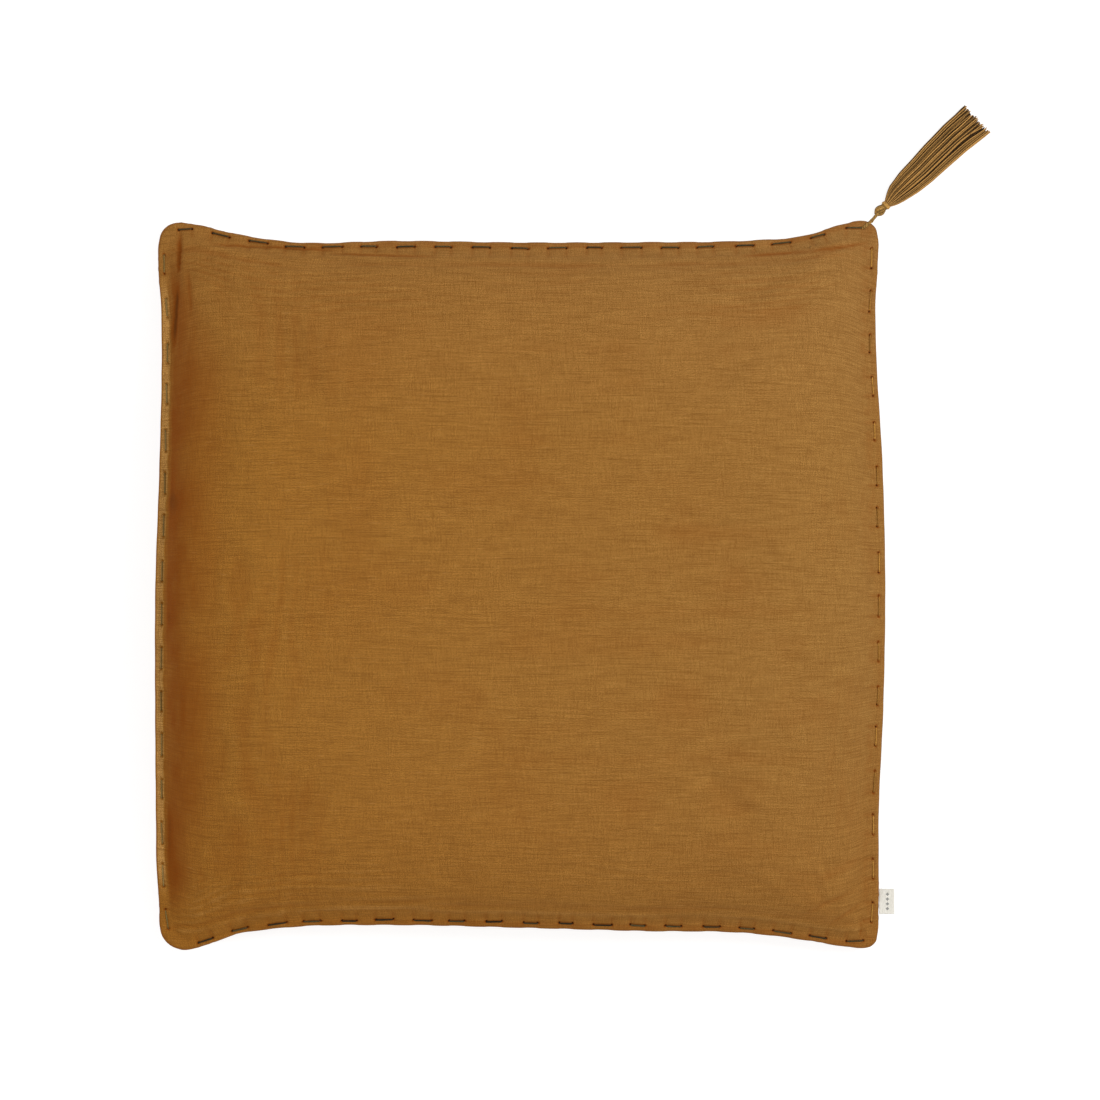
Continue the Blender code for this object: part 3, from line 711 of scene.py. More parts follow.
class Look:
    """A Principled material in the making. Its methods add nodes and give back the last one's output."""

    def __init__(self, name, roughness, **sockets):
        """The sockets given by name hold the values that are even all over."""
        self.material = bpy.data.materials.new(name)
        self.material.use_nodes = True
        self.tree = self.material.node_tree
        self.shader = self.tree.nodes["Principled BSDF"]
        self.shader.inputs["Roughness"].default_value = roughness
        for key, value in sockets.items():
            self.shader.inputs[key.replace("_", " ")].default_value = value

    def put(self, kind, links=None, **settings):
        """A node with its settings; links maps its inputs to values or to other nodes' outputs."""
        node = self.tree.nodes.new(kind)
        for key, value in settings.items():
            setattr(node, key, value)
        for key, value in (links or {}).items():
            if isinstance(value, bpy.types.NodeSocket):
                self.tree.links.new(value, node.inputs[key])
            else:
                node.inputs[key].default_value = value
        return node

    def maths(self, operation, a, b=0.0, c=0.0):
        return self.put("ShaderNodeMath", {0: a, 1: b, 2: c}, operation=operation).outputs[0]

    def add(self, a, b):
        return self.maths("ADD", a, b)

    def times(self, a, b):
        return self.maths("MULTIPLY", a, b)

    def attribute(self, name, output="Vector"):
        return self.put("ShaderNodeAttribute", attribute_name=name).outputs[output]

    def object_place(self):
        return self.put("ShaderNodeTexCoord").outputs["Object"]

    def split(self, vector):
        return list(self.put("ShaderNodeSeparateXYZ", {0: vector}).outputs)

    def noise(self, place, detail, roughness):
        links = {"Vector": place, "Scale": 1.0, "Detail": detail, "Roughness": roughness}
        return self.put("ShaderNodeTexNoise", links).outputs[0]

    def flecks(self, place, scale, detail=2.0, roughness=0.5):
        """Noise from 0 to 1 whose features are 1/scale metres along each axis."""
        stretched = self.put("ShaderNodeMapping", {"Vector": place, "Scale": scale}).outputs[0]
        return self.noise(stretched, detail, roughness)

    def threads(self, along, across, length, pitch):
        """Noise from 0 to 1 in long thin threads, each row moved along so that no grid shows."""
        row = self.times(across, 1 / pitch)
        moved = self.maths("MULTIPLY_ADD", row, 0.37, self.times(along, 1 / length))
        return self.noise(self.put("ShaderNodeCombineXYZ", {0: moved, 1: row}).outputs[0], 2.0, 0.65)

    def plain_weave(self, place, pitch):
        """Threads over and under each other, from -1 to 1, one thread each half pitch."""
        turns = [self.times(part, 2 * math.pi / pitch) for part in self.split(place)[:2]]
        return self.times(*(self.maths("SINE", turn) for turn in turns))

    def ranged(self, value, low, high, to_low=0.0, to_high=1.0):
        links = {0: value, 1: low, 2: high, 3: to_low, 4: to_high}
        return self.put("ShaderNodeMapRange", links, clamp=True).outputs[0]

    def mixed(self, share, a, b):
        return self.put("ShaderNodeMix", {0: share, 6: a, 7: b}, data_type="RGBA").outputs[2]

    def tinted(self, colour, *layers):
        """Lays tints over a colour: (what places it, where it starts, where it is full, share, tint)."""
        for value, start, full, share, tint in layers:
            colour = self.mixed(self.ranged(value, start, full, 0.0, share), colour, tint)
        return colour

    def link(self, output, socket):
        self.tree.links.new(output, self.shader.inputs[socket])

    def finish(self, colour, height, distance, strength):
        """Links the colour and the fine relief, and gives back the material."""
        self.link(colour, "Base Color")
        relief = {"Height": height, "Distance": distance, "Strength": strength}
        self.link(self.put("ShaderNodeBump", relief).outputs[0], "Normal")
        return self.material


def rgb(red, green, blue):
    """A linear colour from the usual 0 to 255 values."""
    parts = [c / 255 for c in (red, green, blue)]
    return (*[c / 12.92 if c <= 0.04045 else ((c + 0.055) / 1.055) ** 2.4 for c in parts], 1.0)


def gauze():
    """Crinkled double gauze, whose threads differ in thickness and take the dye unevenly, under painted
    light and shade.
    """
    look = Look("gauze", 0.90, Sheen_Weight=0.02, Sheen_Roughness=0.5, Specular_IOR_Level=0.03)
    look.shader.inputs["Sheen Tint"].default_value = rgb(226, 168, 104)
    cloth = look.attribute("cloth")
    hollow = look.attribute("hollow", "Fac")
    x, y, _ = look.split(cloth)
    weft = look.threads(x, y, 0.036, 0.00077)
    warp = look.threads(y, x, 0.015, 0.00077)
    grain = look.flecks(cloth, (1150, 1200, 1), 2.0, 0.6)
    slubs = look.flecks(cloth, (70, 800, 1), 2.0, 0.5)
    gaps = look.flecks(cloth, (60, 860, 2), 2.0, 0.5)
    patches = look.flecks(cloth, (14, 9, 1), 4.0, 0.6)
    crinkle = look.flecks(cloth, (150, 210, 1), 3.0, 0.6)
    weave = look.plain_weave(cloth, 0.0015)
    colour = look.tinted(
        # painted light: paler and less saturated towards the right, where the light falls
        look.mixed(look.ranged(x, -0.28, 0.28), rgb(185, 128, 51), rgb(177, 133, 70)),
        # painted light and shade: more saturated and darker towards the bottom, paler towards the top
        (y, -0.12, -0.32, 0.27, rgb(178, 104, 20)),
        (y, 0.12, 0.32, 0.35, rgb(188, 142, 88)),
        (patches, 0.42, 0.20, 0.25, rgb(162, 106, 42)),
        # painted light where the hollow attribute is below 0: the left lip and the wrinkles' crests
        (hollow, 0.0, -0.5, 0.8, rgb(242, 184, 104)),
        (weft, 0.62, 0.32, 0.57, rgb(108, 66, 22)),
        (warp, 0.62, 0.32, 0.45, rgb(110, 68, 24)),
        (grain, 0.60, 0.34, 0.78, rgb(104, 64, 24)),
        (slubs, 0.62, 0.78, 0.22, rgb(208, 160, 92)),
        (gaps, 0.40, 0.24, 0.35, rgb(90, 52, 18)),
        (weave, 0.2, -1.0, 0.30, rgb(98, 56, 16)),
    )
    # painted shade: redder brown where the hollow attribute is high, grainy, and near black where it is
    # deepest
    shade = look.times(look.ranged(hollow, 0.0, 0.6, 0.0, 0.82), look.ranged(grain, 0.36, 0.64, 0.6, 1.4))
    colour = look.mixed(shade, colour, rgb(124, 60, 8))
    colour = look.tinted(colour, (hollow, 0.62, 1.0, 0.92, rgb(26, 18, 10)))
    height = look.add(look.times(weave, 0.25), look.add(weft, warp))
    return look.finish(colour, look.add(height, look.times(crinkle, 1.4)), 0.00035, 0.8)


def yarn(name, dark, light, twist_pitch, groove_shade=0.6, fuzz=0.35):
    """Twisted thread. The grain attribute holds the length along it and the cosine and sine round it."""
    look = Look(name, 0.75, Sheen_Weight=0.02, Sheen_Roughness=0.4, Specular_IOR_Level=0.12)
    along, cosine, sine = look.split(look.attribute("grain"))
    turn = look.times(along, 2 * math.pi / twist_pitch)
    one, two = look.times(look.maths("SINE", turn), cosine), look.times(look.maths("COSINE", turn), sine)
    ply = look.add(one, two)
    fibre = look.flecks(look.object_place(), (900, 900, 900))
    deep = (*[0.40 * c for c in dark[:3]], 1.0)
    colour = look.tinted(
        look.mixed(look.attribute("tone", "Fac"), dark, light),
        # painted shade in the groove between the plies
        (ply, 0.1, -1.0, groove_shade, deep),
        (fibre, 0.55, 0.35, fuzz, deep),
    )
    return look.finish(colour, look.add(ply, fibre), 0.0002, 2 * fuzz)


LOZENGE_LINE = 0.0068  # distance of the printed row from the tab's sewn end
LOZENGE_PITCH = 0.0040


def ribbon():
    """Fine off-white taffeta, with a printed row of small lozenges."""
    look = Look("tab_ribbon", 0.7, Sheen_Weight=0.15)
    place = look.attribute("cloth")
    weave = look.plain_weave(place, 0.0009)
    grain = look.flecks(place, (1500, 320, 1))
    x, y, _ = look.split(place)
    across = look.maths("ABSOLUTE", look.maths("SUBTRACT", x, LOZENGE_LINE))
    phase = look.maths("FRACT", look.times(y, 1 / LOZENGE_PITCH))
    beside = look.times(look.maths("ABSOLUTE", look.maths("SUBTRACT", phase, 0.5)), LOZENGE_PITCH)
    lozenge = look.maths("LESS_THAN", look.add(across, beside), 0.0015)
    inside = look.maths("LESS_THAN", look.maths("ABSOLUTE", y), 2 * LOZENGE_PITCH)
    colour = look.mixed(look.ranged(grain, 0.3, 0.7), rgb(208, 205, 194), rgb(234, 230, 220))
    colour = look.tinted(colour, (weave, 0.2, -1.0, 0.25, rgb(164, 160, 148)))
    colour = look.mixed(look.times(look.times(lozenge, inside), 0.72), colour, rgb(74, 78, 78))
    return look.finish(colour, look.add(weave, grain), 0.0001, 0.6)


def tape_cloth():
    """Dense herringbone zip tape."""
    look = Look("tape_cloth", 0.8, Sheen_Weight=0.1)
    place = look.object_place()
    x, y, _ = look.split(place)
    slanted = look.add(x, look.maths("PINGPONG", y, 0.0013))
    stripes = look.maths("SINE", look.times(slanted, 7000.0))
    grain = look.flecks(place, (900, 900, 300))
    colour = look.mixed(look.ranged(stripes, -1, 1), rgb(112, 72, 34), rgb(146, 98, 50))
    colour = look.tinted(colour, (grain, 0.6, 0.3, 0.3, rgb(84, 50, 22)))
    return look.finish(colour, look.add(stripes, grain), 0.00015, 0.7)


def nylon():
    """Slightly glossy dyed monofilament."""
    look = Look("zip_nylon", 0.35)
    spots = look.flecks(look.object_place(), (500, 500, 500), 3.0)
    return look.finish(look.mixed(spots, rgb(118, 76, 36), rgb(142, 96, 50)), spots, 0.00006, 0.5)


def brass():
    """Aged brass: brushed, and duller in blotches."""
    look = Look("zip_brass", 0.35, Metallic=1.0)
    place = look.object_place()
    brushed = look.flecks(place, (400, 5200, 3000))
    dull = look.flecks(place, (420, 420, 420), 4.0, 0.6)
    look.link(look.ranged(dull, 0.3, 0.7, 0.48, 0.26), "Roughness")
    colour = look.mixed(look.ranged(dull, 0.35, 0.65), rgb(158, 132, 84), rgb(196, 170, 116))
    return look.finish(colour, brushed, 0.00004, 0.5)


def calico(name, light, dark):
    """Unbleached plain cotton, or other pale cloth and fibre."""
    look = Look(name, 0.9, Sheen_Weight=0.2)
    place = look.object_place()
    weave = look.plain_weave(place, 0.0012)
    grain = look.flecks(place, (420, 420, 420), 4.0, 0.65)
    colour = look.mixed(look.ranged(grain, 0.3, 0.7), dark, light)
    colour = look.tinted(colour, (weave, 0.2, -1.0, 0.2, dark))
    return look.finish(colour, look.add(weave, grain), 0.0002, 0.6)


def studio_floor():
    """Bright paper that gives a little light of its own, so that shadows on it stay pale."""
    look = Look("floor_paper", 0.9, Emission_Color=(1.0, 1.0, 1.0, 1.0), Emission_Strength=0.82)
    fibre = look.flecks(look.object_place(), (60, 60, 60), 3.0)
    look.link(look.mixed(fibre, (0.28, 0.28, 0.28, 1.0), (0.30, 0.30, 0.30, 1.0)), "Base Color")
    return look.material


# Cover


def edge_hollow(plan, depth, hollow, side):
    """Adds painted shade beside the lip to the hollows, and the painted shade and light of the front's
    edges.
    """
    x, y = plan.T
    _, _, left, right = edge_gaps(plan)
    shaded = leftness(plan)
    held = shaded * (1 - step_up(np.abs(y), 0.232, 0.262))
    # painted shade in the furrow beside the lip, stronger along the left edge
    furrow = (0.05 + 0.27 * held) * bell(depth, LIP_WIDTH + 0.0004, 0.0014)
    if side < 0:
        return np.maximum(hollow, furrow)
    # painted shade: the broad dark band beside the left edge, where the flank turns from the light
    shade = 0.54 * (1 - step_up(left, 0.013, 0.032 + 0.038 * step_up(np.abs(y), 0.27, 0.16)))
    shade += 0.14 * bell(left, 0.012, 0.010)
    shade *= step_up(left, LIP_WIDTH - 0.0005, 0.011) * step_up(np.abs(y), 0.292, 0.240)
    uneven = 0.78 + 0.30 * ripple(y / 0.035, x / 0.03, 61) + 0.14 * ripple(y / 0.014, left / 0.004, 67)
    # the lip, darker at the top and bottom; painted shade in the strip beside the right lip and on the left
    # edge's fold
    rim = np.where(np.abs(y) > np.abs(x), 0.23, 0.10) * (1 - step_up(depth, 0.0048, 0.0076))
    rim *= (1 - shaded) * (0.8 + 0.4 * ripple(x / 0.012, y / 0.012, 63))
    beside = 0.14 * bell(right, 0.0105, 0.0035) * step_up(ripple(y / 0.006, right / 0.004, 65), -0.4, 0.5)
    fold = 0.30 * shaded * (1 - step_up(depth, 0.0003, 0.0016))
    # painted light: the left lip made paler, as if it caught the light
    painted_lip_light = 0.56 * held * step_up(depth, 0.0004, 0.0022) * (1 - step_up(depth, 0.0060, 0.0085))
    return np.maximum.reduce([hollow, furrow, shade * uneven, rim, beside, fold]) - painted_lip_light


def dress(plan, depth, hem, z, faces, side):
    """Gives a plain cover shape its wrinkles and stitch marks, with their painted shade and light."""
    verts = np.column_stack([plan, z])
    normals = normals_of(verts, faces)
    if side > 0:
        height, hollow, painted_crest_light = wrinkles(plan, depth)
    else:
        height, hollow = under_wrinkles(plan, depth)
        painted_crest_light = 0.0
    marks, marked, shift = stitch_marks(plan, depth, side)
    push = np.where(hem, 0.0, height + marks)
    verts = verts + normals * push[:, None]
    verts[:, :2] += shift
    # painted shade on the hem, turned in under the lip
    hollow = np.where(hem, 0.8, np.maximum(hollow, marked))
    return verts, edge_hollow(plan, depth, hollow, side) - painted_crest_light


def under_wrinkles(plan, depth):
    """The back's wrinkles, which run along its edges and die away on the flat: (height, painted shade in
    hollows).
    """
    x, y = plan.T
    gaps = edge_gaps(plan)
    height = np.zeros(len(plan))
    for gap, along, seed in zip(gaps, (x, x, y, y), (71, 75, 79, 83)):
        height += 0.00045 * bands(gap, along, 0.013, 0.075, 0.0105, seed)
    height += 0.0003 * ripple(x / 0.05, y / 0.05, 87) * step_up(depth, LIP_WIDTH, 0.02)
    height *= 1 - step_up(depth, 0.055, 0.075)
    return height, np.clip(-height / FULL_WRINKLE, 0, 1) * 0.3


FRONT_CELLS, FRONT_CLOSE, FRONT_SPLIT = 168, 26, 3
BACK_CELLS, BACK_CLOSE, BACK_SPLIT = 104, 16, 2


def make_front(material):
    """The front panel; its even grid also takes the travel of an inflated cloth."""
    plan, depth, hem, z, faces = cover_shape(1, FRONT_CELLS, FRONT_CLOSE, FRONT_SPLIT)
    verts, hollow = dress(plan, depth, hem, z, faces, 1)
    grid = (FRONT_CELLS + 1) ** 2
    shares = cell_shares(FRONT_CELLS, FRONT_CLOSE)
    verts[-grid:] += sampled(simulated_travel(1), shares).reshape(-1, 3)
    place = fabric_place(plan, depth, 1)
    vectors = {"cloth": np.column_stack([place, np.zeros(len(place))])}
    return mesh_object("front_panel", verts, faces, material, vectors, {"hollow": hollow})


def zip_opening(x):
    """Half the gap between the back's two panels: closed by a seam beyond the ends of the zip."""
    return SLOT_HALF_WIDTH * (1 - step_up(np.abs(x), SLOT_END - 0.003, SLOT_END + 0.002))


SEAM_SHADE = 0.0016  # how wide the painted shade is on each side of the seam


def make_back(name, sign, shape, material):
    """One back panel: the whole back, cut along the zip and turned up there into a hem."""
    verts, faces, place, hollow = shape
    whole = mesh_object(name, verts, faces, material, {"cloth": place}, {"hollow": hollow})
    bm = bmesh.new()
    bm.from_mesh(whole.data)
    for inset in (SEAM_SHADE, 0.0):  # a row of points beside the seam, then the seam
        cut = bmesh.ops.bisect_plane(
            bm,
            geom=bm.verts[:] + bm.edges[:] + bm.faces[:],
            plane_co=(0, ZIP_Y + sign * inset, 0),
            plane_no=(0, sign, 0),
            clear_inner=inset == 0,
        )
    shade = bm.verts.layers.float["hollow"]
    rim = [e for e in cut["geom_cut"] if isinstance(e, bmesh.types.BMEdge)]
    for vert in bm.verts:
        away = abs(vert.co.y - ZIP_Y)
        fade = math.exp(-((away / 0.02) ** 2))
        # painted shade along the seam
        if away < 0.00001:
            vert[shade] = 0.5
        vert.co.y += sign * float(zip_opening(vert.co.x)) * fade
        vert.co.z += 0.0005 * math.exp(-((away / 0.016) ** 2)) * (vert.co.z < 0.003)
    flat = [e for e in rim if max(v.co.z for v in e.verts) < 0.01]
    rim = [e for e in flat if max(abs(v.co.x) for v in e.verts) < SLOT_END]
    for out, up in HEM_TURNS:
        pushed = bmesh.ops.extrude_edge_only(bm, edges=rim)["geom"]
        for vert in (v for v in pushed if isinstance(v, bmesh.types.BMVert)):
            vert.co += Vector((0, sign * out, up))
        rim = [e for e in pushed if isinstance(e, bmesh.types.BMEdge)]
    bm.to_mesh(whole.data)
    bm.free()
    whole.data.shade_smooth()
    return whole


def make_cover():
    material = gauze()
    front = make_front(material)
    plan, depth, hem, z, faces = cover_shape(-1, BACK_CELLS, BACK_CLOSE, BACK_SPLIT)
    verts, hollow = dress(plan, depth, hem, z, faces, -1)
    verts[:, 2] = np.maximum(verts[:, 2], UNDERSIDE_Z)
    place = fabric_place(plan, depth, -1)
    shape = (verts, faces, np.column_stack([place, np.full(len(place), 0.5)]), hollow)
    main = make_back("back_panel_main", 1, shape, material)
    strip = make_back("back_panel_strip", -1, shape, material)
    for piece, node in ((front, "cover_front"), (main, "cover_back_main"), (strip, "cover_back_strip")):
        finish_piece(piece, "cushion", "cover_gauze", node)
    return front


def finish_piece(piece, body, slot, *nodes):
    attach(piece, body)
    if nodes:
        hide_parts(*nodes)


# Threads


def frames_along(points, up):
    """Sideways and upward unit vectors along lines held as an array (lines, points, 3)."""
    tangents = np.gradient(points, axis=1)
    tangents /= np.maximum(np.linalg.norm(tangents, axis=2, keepdims=True), 1e-12)
    sideways = np.cross(tangents, np.broadcast_to(up, tangents.shape))
    sideways /= np.maximum(np.linalg.norm(sideways, axis=2, keepdims=True), 1e-12)
    return sideways, np.cross(sideways, tangents)


def sweep(lines, radii, sides, up=(0, 0, 1), tones=None, phases=None):
    """Round threads along lines (lines, points, 3): (verts, faces, grain, tone), ends closed."""
    lines = np.asarray(lines, float)
    count, length = lines.shape[:2]
    sideways, upward = frames_along(lines, np.asarray(up, float))
    radii = np.broadcast_to(radii, (count, length))
    turn = 2 * math.pi * np.arange(sides) / sides
    ring = sideways[:, :, None] * np.cos(turn)[:, None] + upward[:, :, None] * np.sin(turn)[:, None]
    verts = (lines[:, :, None] + ring * radii[:, :, None, None]).reshape(-1, 3)
    steps = np.linalg.norm(np.diff(lines, axis=1), axis=2)
    along = np.concatenate([np.zeros((count, 1)), np.cumsum(steps, axis=1)], axis=1)
    grain = np.zeros((count, length, sides, 3))
    phases = np.zeros(count) if phases is None else np.asarray(phases)
    grain[..., 0] = (along + phases[:, None])[:, :, None]
    grain[..., 1] = np.cos(turn)
    grain[..., 2] = np.sin(turn)
    tones = np.full(count, 0.5) if tones is None else np.asarray(tones)
    tone = np.broadcast_to(tones[:, None, None], (count, length, sides)).ravel()
    faces = []
    for line in range(count):
        first = line * length * sides
        faces += ring_faces(length, sides, first)
        end = first + (length - 1) * sides
        faces.append(tuple(range(first + sides - 1, first - 1, -1)))
        faces.append(tuple(range(end, end + sides)))
    return verts, faces, grain.reshape(-1, 3), tone


def joined(parts):
    """Swept parts as one."""
    verts, faces, grains, tones = [], [], [], []
    offset = 0
    for part_verts, part_faces, grain, tone in parts:
        verts.append(part_verts)
        faces += [tuple(i + offset for i in face) for face in part_faces]
        grains.append(grain)
        tones.append(tone)
        offset += len(part_verts)
    return np.vstack(verts), faces, np.vstack(grains), np.concatenate(tones)


def add_threads(name, parts, material, body, node, slot="tassel_thread"):
    """One piece made of the swept parts, in place of a CAD node."""
    verts, faces, grain, tone = joined(parts)
    piece = mesh_object(name, verts, faces, material, {"grain": grain}, {"tone": tone})
    finish_piece(piece, body, slot, node)


def plied(line, spread, radius, pitch, plies=2, sides=7, up=(0, 0, 1), tones=None, start=0.0):
    """Strands laid round one line as a twisted cord."""
    line = np.asarray(line, float)[None]
    sideways, upward = frames_along(line, np.asarray(up, float))
    turn = 2 * math.pi * lengths_along(line[0]) / pitch + start
    strands = []
    for ply in range(plies):
        angle = (turn + 2 * math.pi * ply / plies)[:, None]
        strands.append(line[0] + spread * (np.cos(angle) * sideways[0] + np.sin(angle) * upward[0]))
    return sweep(np.array(strands), radius, sides, up, tones)


STITCH_STEPS = 30
HOLE_STEPS = 6  # steps at each end where the cloth dips into the hole
THREAD_LIFT = 0.00038
THREAD_ARCH = 0.0002
THREAD_DIVE = 0.0019  # how far each end goes down into its hole


def stitch_line(tree, start, end, rng):
    """One hand stitch: up through its first hole, over the cloth, and down through the last."""
    shares = np.linspace(0, 1, STITCH_STEPS)
    plan = start + shares[:, None] * (end - start)
    hits = [tree.ray_cast(Vector((x, y, 0.2)), Vector((0, 0, -1)))[0] for x, y in plan]
    heights = np.array([hit.z if hit else SEAM_Z for hit in hits])
    over = slice(HOLE_STEPS, -HOLE_STEPS)
    taut = np.interp(shares, shares[over], heights[over])
    taut = taut + THREAD_LIFT + THREAD_ARCH * np.sin(math.pi * shares)
    dive = THREAD_DIVE * (1 - step_up(np.minimum(shares, 1 - shares), 0.0, 0.11)) ** 1.5
    return np.column_stack([plan, taut - dive + rng.uniform(-0.05, 0.05) * MM])


def make_edge_threads(front):
    """The four running stitches, each a two-ply thread."""
    faces = [tuple(face.vertices) for face in front.data.polygons]
    tree = BVHTree.FromPolygons([Vector(c) for c in read_points(front.data, "co")], faces)
    # one olive thread in three copies: darker on the top and bottom as painted shade, golden on the right
    # as painted light
    dark = yarn("stitch_thread_painted_shade", rgb(40, 34, 20), rgb(98, 84, 50), 0.0016)
    olive = yarn("stitch_thread_olive", rgb(134, 112, 60), rgb(172, 144, 86), 0.0016)
    gold = yarn("stitch_thread_painted_light", rgb(150, 104, 40), rgb(206, 150, 66), 0.0016, 0.4)
    looks = {  # material, radius of a ply
        "right": (gold, 0.00034),
        "top": (dark, 0.00042),
        "left": (olive, 0.00033),
        "bottom": (dark, 0.00044),
    }
    rng = random.Random(5)
    steps, bulges = np.linspace(0, 1, STITCH_STEPS), np.linspace(0, 1, 6)
    for side in SIDES:
        parts = []
        material, radius = looks[side]
        for start, end in STITCH_ENDS[side]:
            line = stitch_line(tree, start, end, rng)
            tones = [rng.random()] * 2
            radii = radius * np.interp(steps, bulges, [rng.uniform(0.72, 1.15) for _ in bulges])
            twist = rng.uniform(0, 6)
            parts.append(plied(line, 0.8 * radius, radii, 0.0027, tones=tones, start=twist))
        piece = f"running_stitch_{side}"
        add_threads(piece, parts, material, "cushion", f"edge_stitch_{side}", "edge_thread")


# Tassel

TASSEL_ALONG = Vector((math.cos(TASSEL_ANGLE), math.sin(TASSEL_ANGLE), 0))
TASSEL_ACROSS = Vector((-math.sin(TASSEL_ANGLE), math.cos(TASSEL_ANGLE), 0))
SKIRT_SECTIONS = np.array([  # distance from the head, half width and height, middle's height and sway
    (0.0078, 0.0026, 0.0025, 0.0050, 0.0000),
    (0.0110, 0.0046, 0.0036, 0.0051, 0.0002),
    (0.0150, 0.0068, 0.0044, 0.0054, 0.0006),
    (0.0200, 0.0087, 0.0050, 0.0058, 0.0011),
    (0.0340, 0.0114, 0.0060, 0.0066, 0.0011),
    (0.0480, 0.0125, 0.0061, 0.0067, 0.0009),
    (0.0650, 0.0136, 0.0059, 0.0065, 0.0017),
    (0.0880, 0.0145, 0.0054, 0.0060, 0.0022),
    (0.1138, 0.0152, 0.0048, 0.0054, 0.0006),
])
SKIRT_START, SKIRT_END = SKIRT_SECTIONS[[0, -1], 0]
STRAND_STEPS = 34


def tassel_point(distance, across, z):
    """World points from tassel coordinates, as arrays."""
    along = np.array(TASSEL_ALONG)
    sideways = np.array(TASSEL_ACROSS)
    base = np.array((HEAD_AT.x, HEAD_AT.y, 0.0))
    points = base + distance[..., None] * along + across[..., None] * sideways
    points[..., 2] = z
    return points


SKIRT_RINGS = (  # share of the way out, count of strands, their tone (darker inside, as painted shade between the outer strands), how much shorter they are
    (0.0, 3, 0.40, 0.004),
    (0.30, 18, 0.40, 0.003),
    (0.55, 32, 0.40, 0.002),
    (0.74, 46, 0.30, 0.0015),
    (0.87, 50, 0.12, 0.0015),
    (0.98, 38, 0.78, 0.0),
)


def skirt_strands(rng):
    """Strands in rings from the middle of the tassel to its outside, spreading as they leave the neck."""
    lines, radii, tones = [], [], []
    t = np.linspace(0, 1, STRAND_STEPS)
    taper = np.interp(t, (0, 0.10, 0.3, 0.9, 1), (0.00022, 0.00032, 0.00045, 0.00047, 0.00040))
    for share, count, shade, shorter in SKIRT_RINGS:
        for i in range(count):
            angle = 2 * math.pi * (i + rng.uniform(-0.3, 0.3)) / count
            end = SKIRT_END - shorter - abs(rng.gauss(0, 0.0016)) - rng.uniform(0, 0.0012)
            if rng.random() < 0.08:
                end -= rng.uniform(0.002, 0.007)
            distance = SKIRT_START + (end - SKIRT_START) * t
            section = [np.interp(distance, SKIRT_SECTIONS[:, 0], column) for column in SKIRT_SECTIONS.T[1:]]
            width, height, middle, sway = section
            angle += 0.12 * math.sin(2 * angle)
            turned = angle + rng.uniform(-0.05, 0.05) * t
            wave = 0.0002 * np.sin(t * rng.uniform(7, 13) + rng.uniform(0, 6)) * t
            flare = 0.0015 * max(0.0, rng.gauss(0, 1)) * step_up(t, 0.82, 1.0)
            flare = flare * math.copysign(1, math.cos(angle))
            across = sway + width * share * np.cos(turned) + wave + flare
            lift = height * share * np.sin(turned) + 0.5 * wave
            lines.append(tassel_point(distance, across, np.maximum(middle + lift, 0.0009)))
            radii.append(taper)
            tones.append(np.clip(rng.gauss(shade, 0.20) - 0.5 * (rng.random() < 0.26), 0, 1))
    return np.array(lines), np.array(radii), tones


HEAD_PROFILE = np.array([  # distance from the head's middle, radius
    (-0.0046, 0.0009),
    (-0.0040, 0.0015),
    (-0.0029, 0.0026),
    (-0.0012, 0.0036),
    (0.0006, 0.0038),
    (0.0024, 0.0034),
    (0.0040, 0.0026),
    (0.0062, 0.0022),
])


def head_strands(rng):
    """The skirt's threads folded over the cord's end: lengthwise strands over a drop-shaped head."""
    lines, tones = [], []
    profile = smooth_through(HEAD_PROFILE, 6, False)
    for i in range(26):
        angle = 2 * math.pi * (i + rng.uniform(-0.25, 0.25)) / 26
        t = np.linspace(0, 1, 22)
        distance = profile[0, 0] + t * (profile[-1, 0] - profile[0, 0])
        radius = np.interp(distance, profile[:, 0], profile[:, 1]) + 0.0002 * rng.uniform(-1, 1)
        turned = angle + 1.1 * t
        height = HEAD_AT.z + 0.0001 + radius * np.sin(turned)
        lines.append(tassel_point(distance, radius * np.cos(turned), height))
        tones.append(np.clip(rng.gauss(0.62, 0.25), 0, 1))
    return np.array(lines), tones


def coil_line(radius, start, end, turns, wobble=0.0, steps_per_turn=26):
    """A coil round the tassel's line."""
    t = np.linspace(0, 1, int(turns * steps_per_turn) + 1)
    angle = 2 * math.pi * turns * t
    out = radius + wobble * np.sin(angle * 0.37)
    distance = start + (end - start) * t
    return tassel_point(distance, out * np.cos(angle), HEAD_AT.z + 0.0002 + out * np.sin(angle))


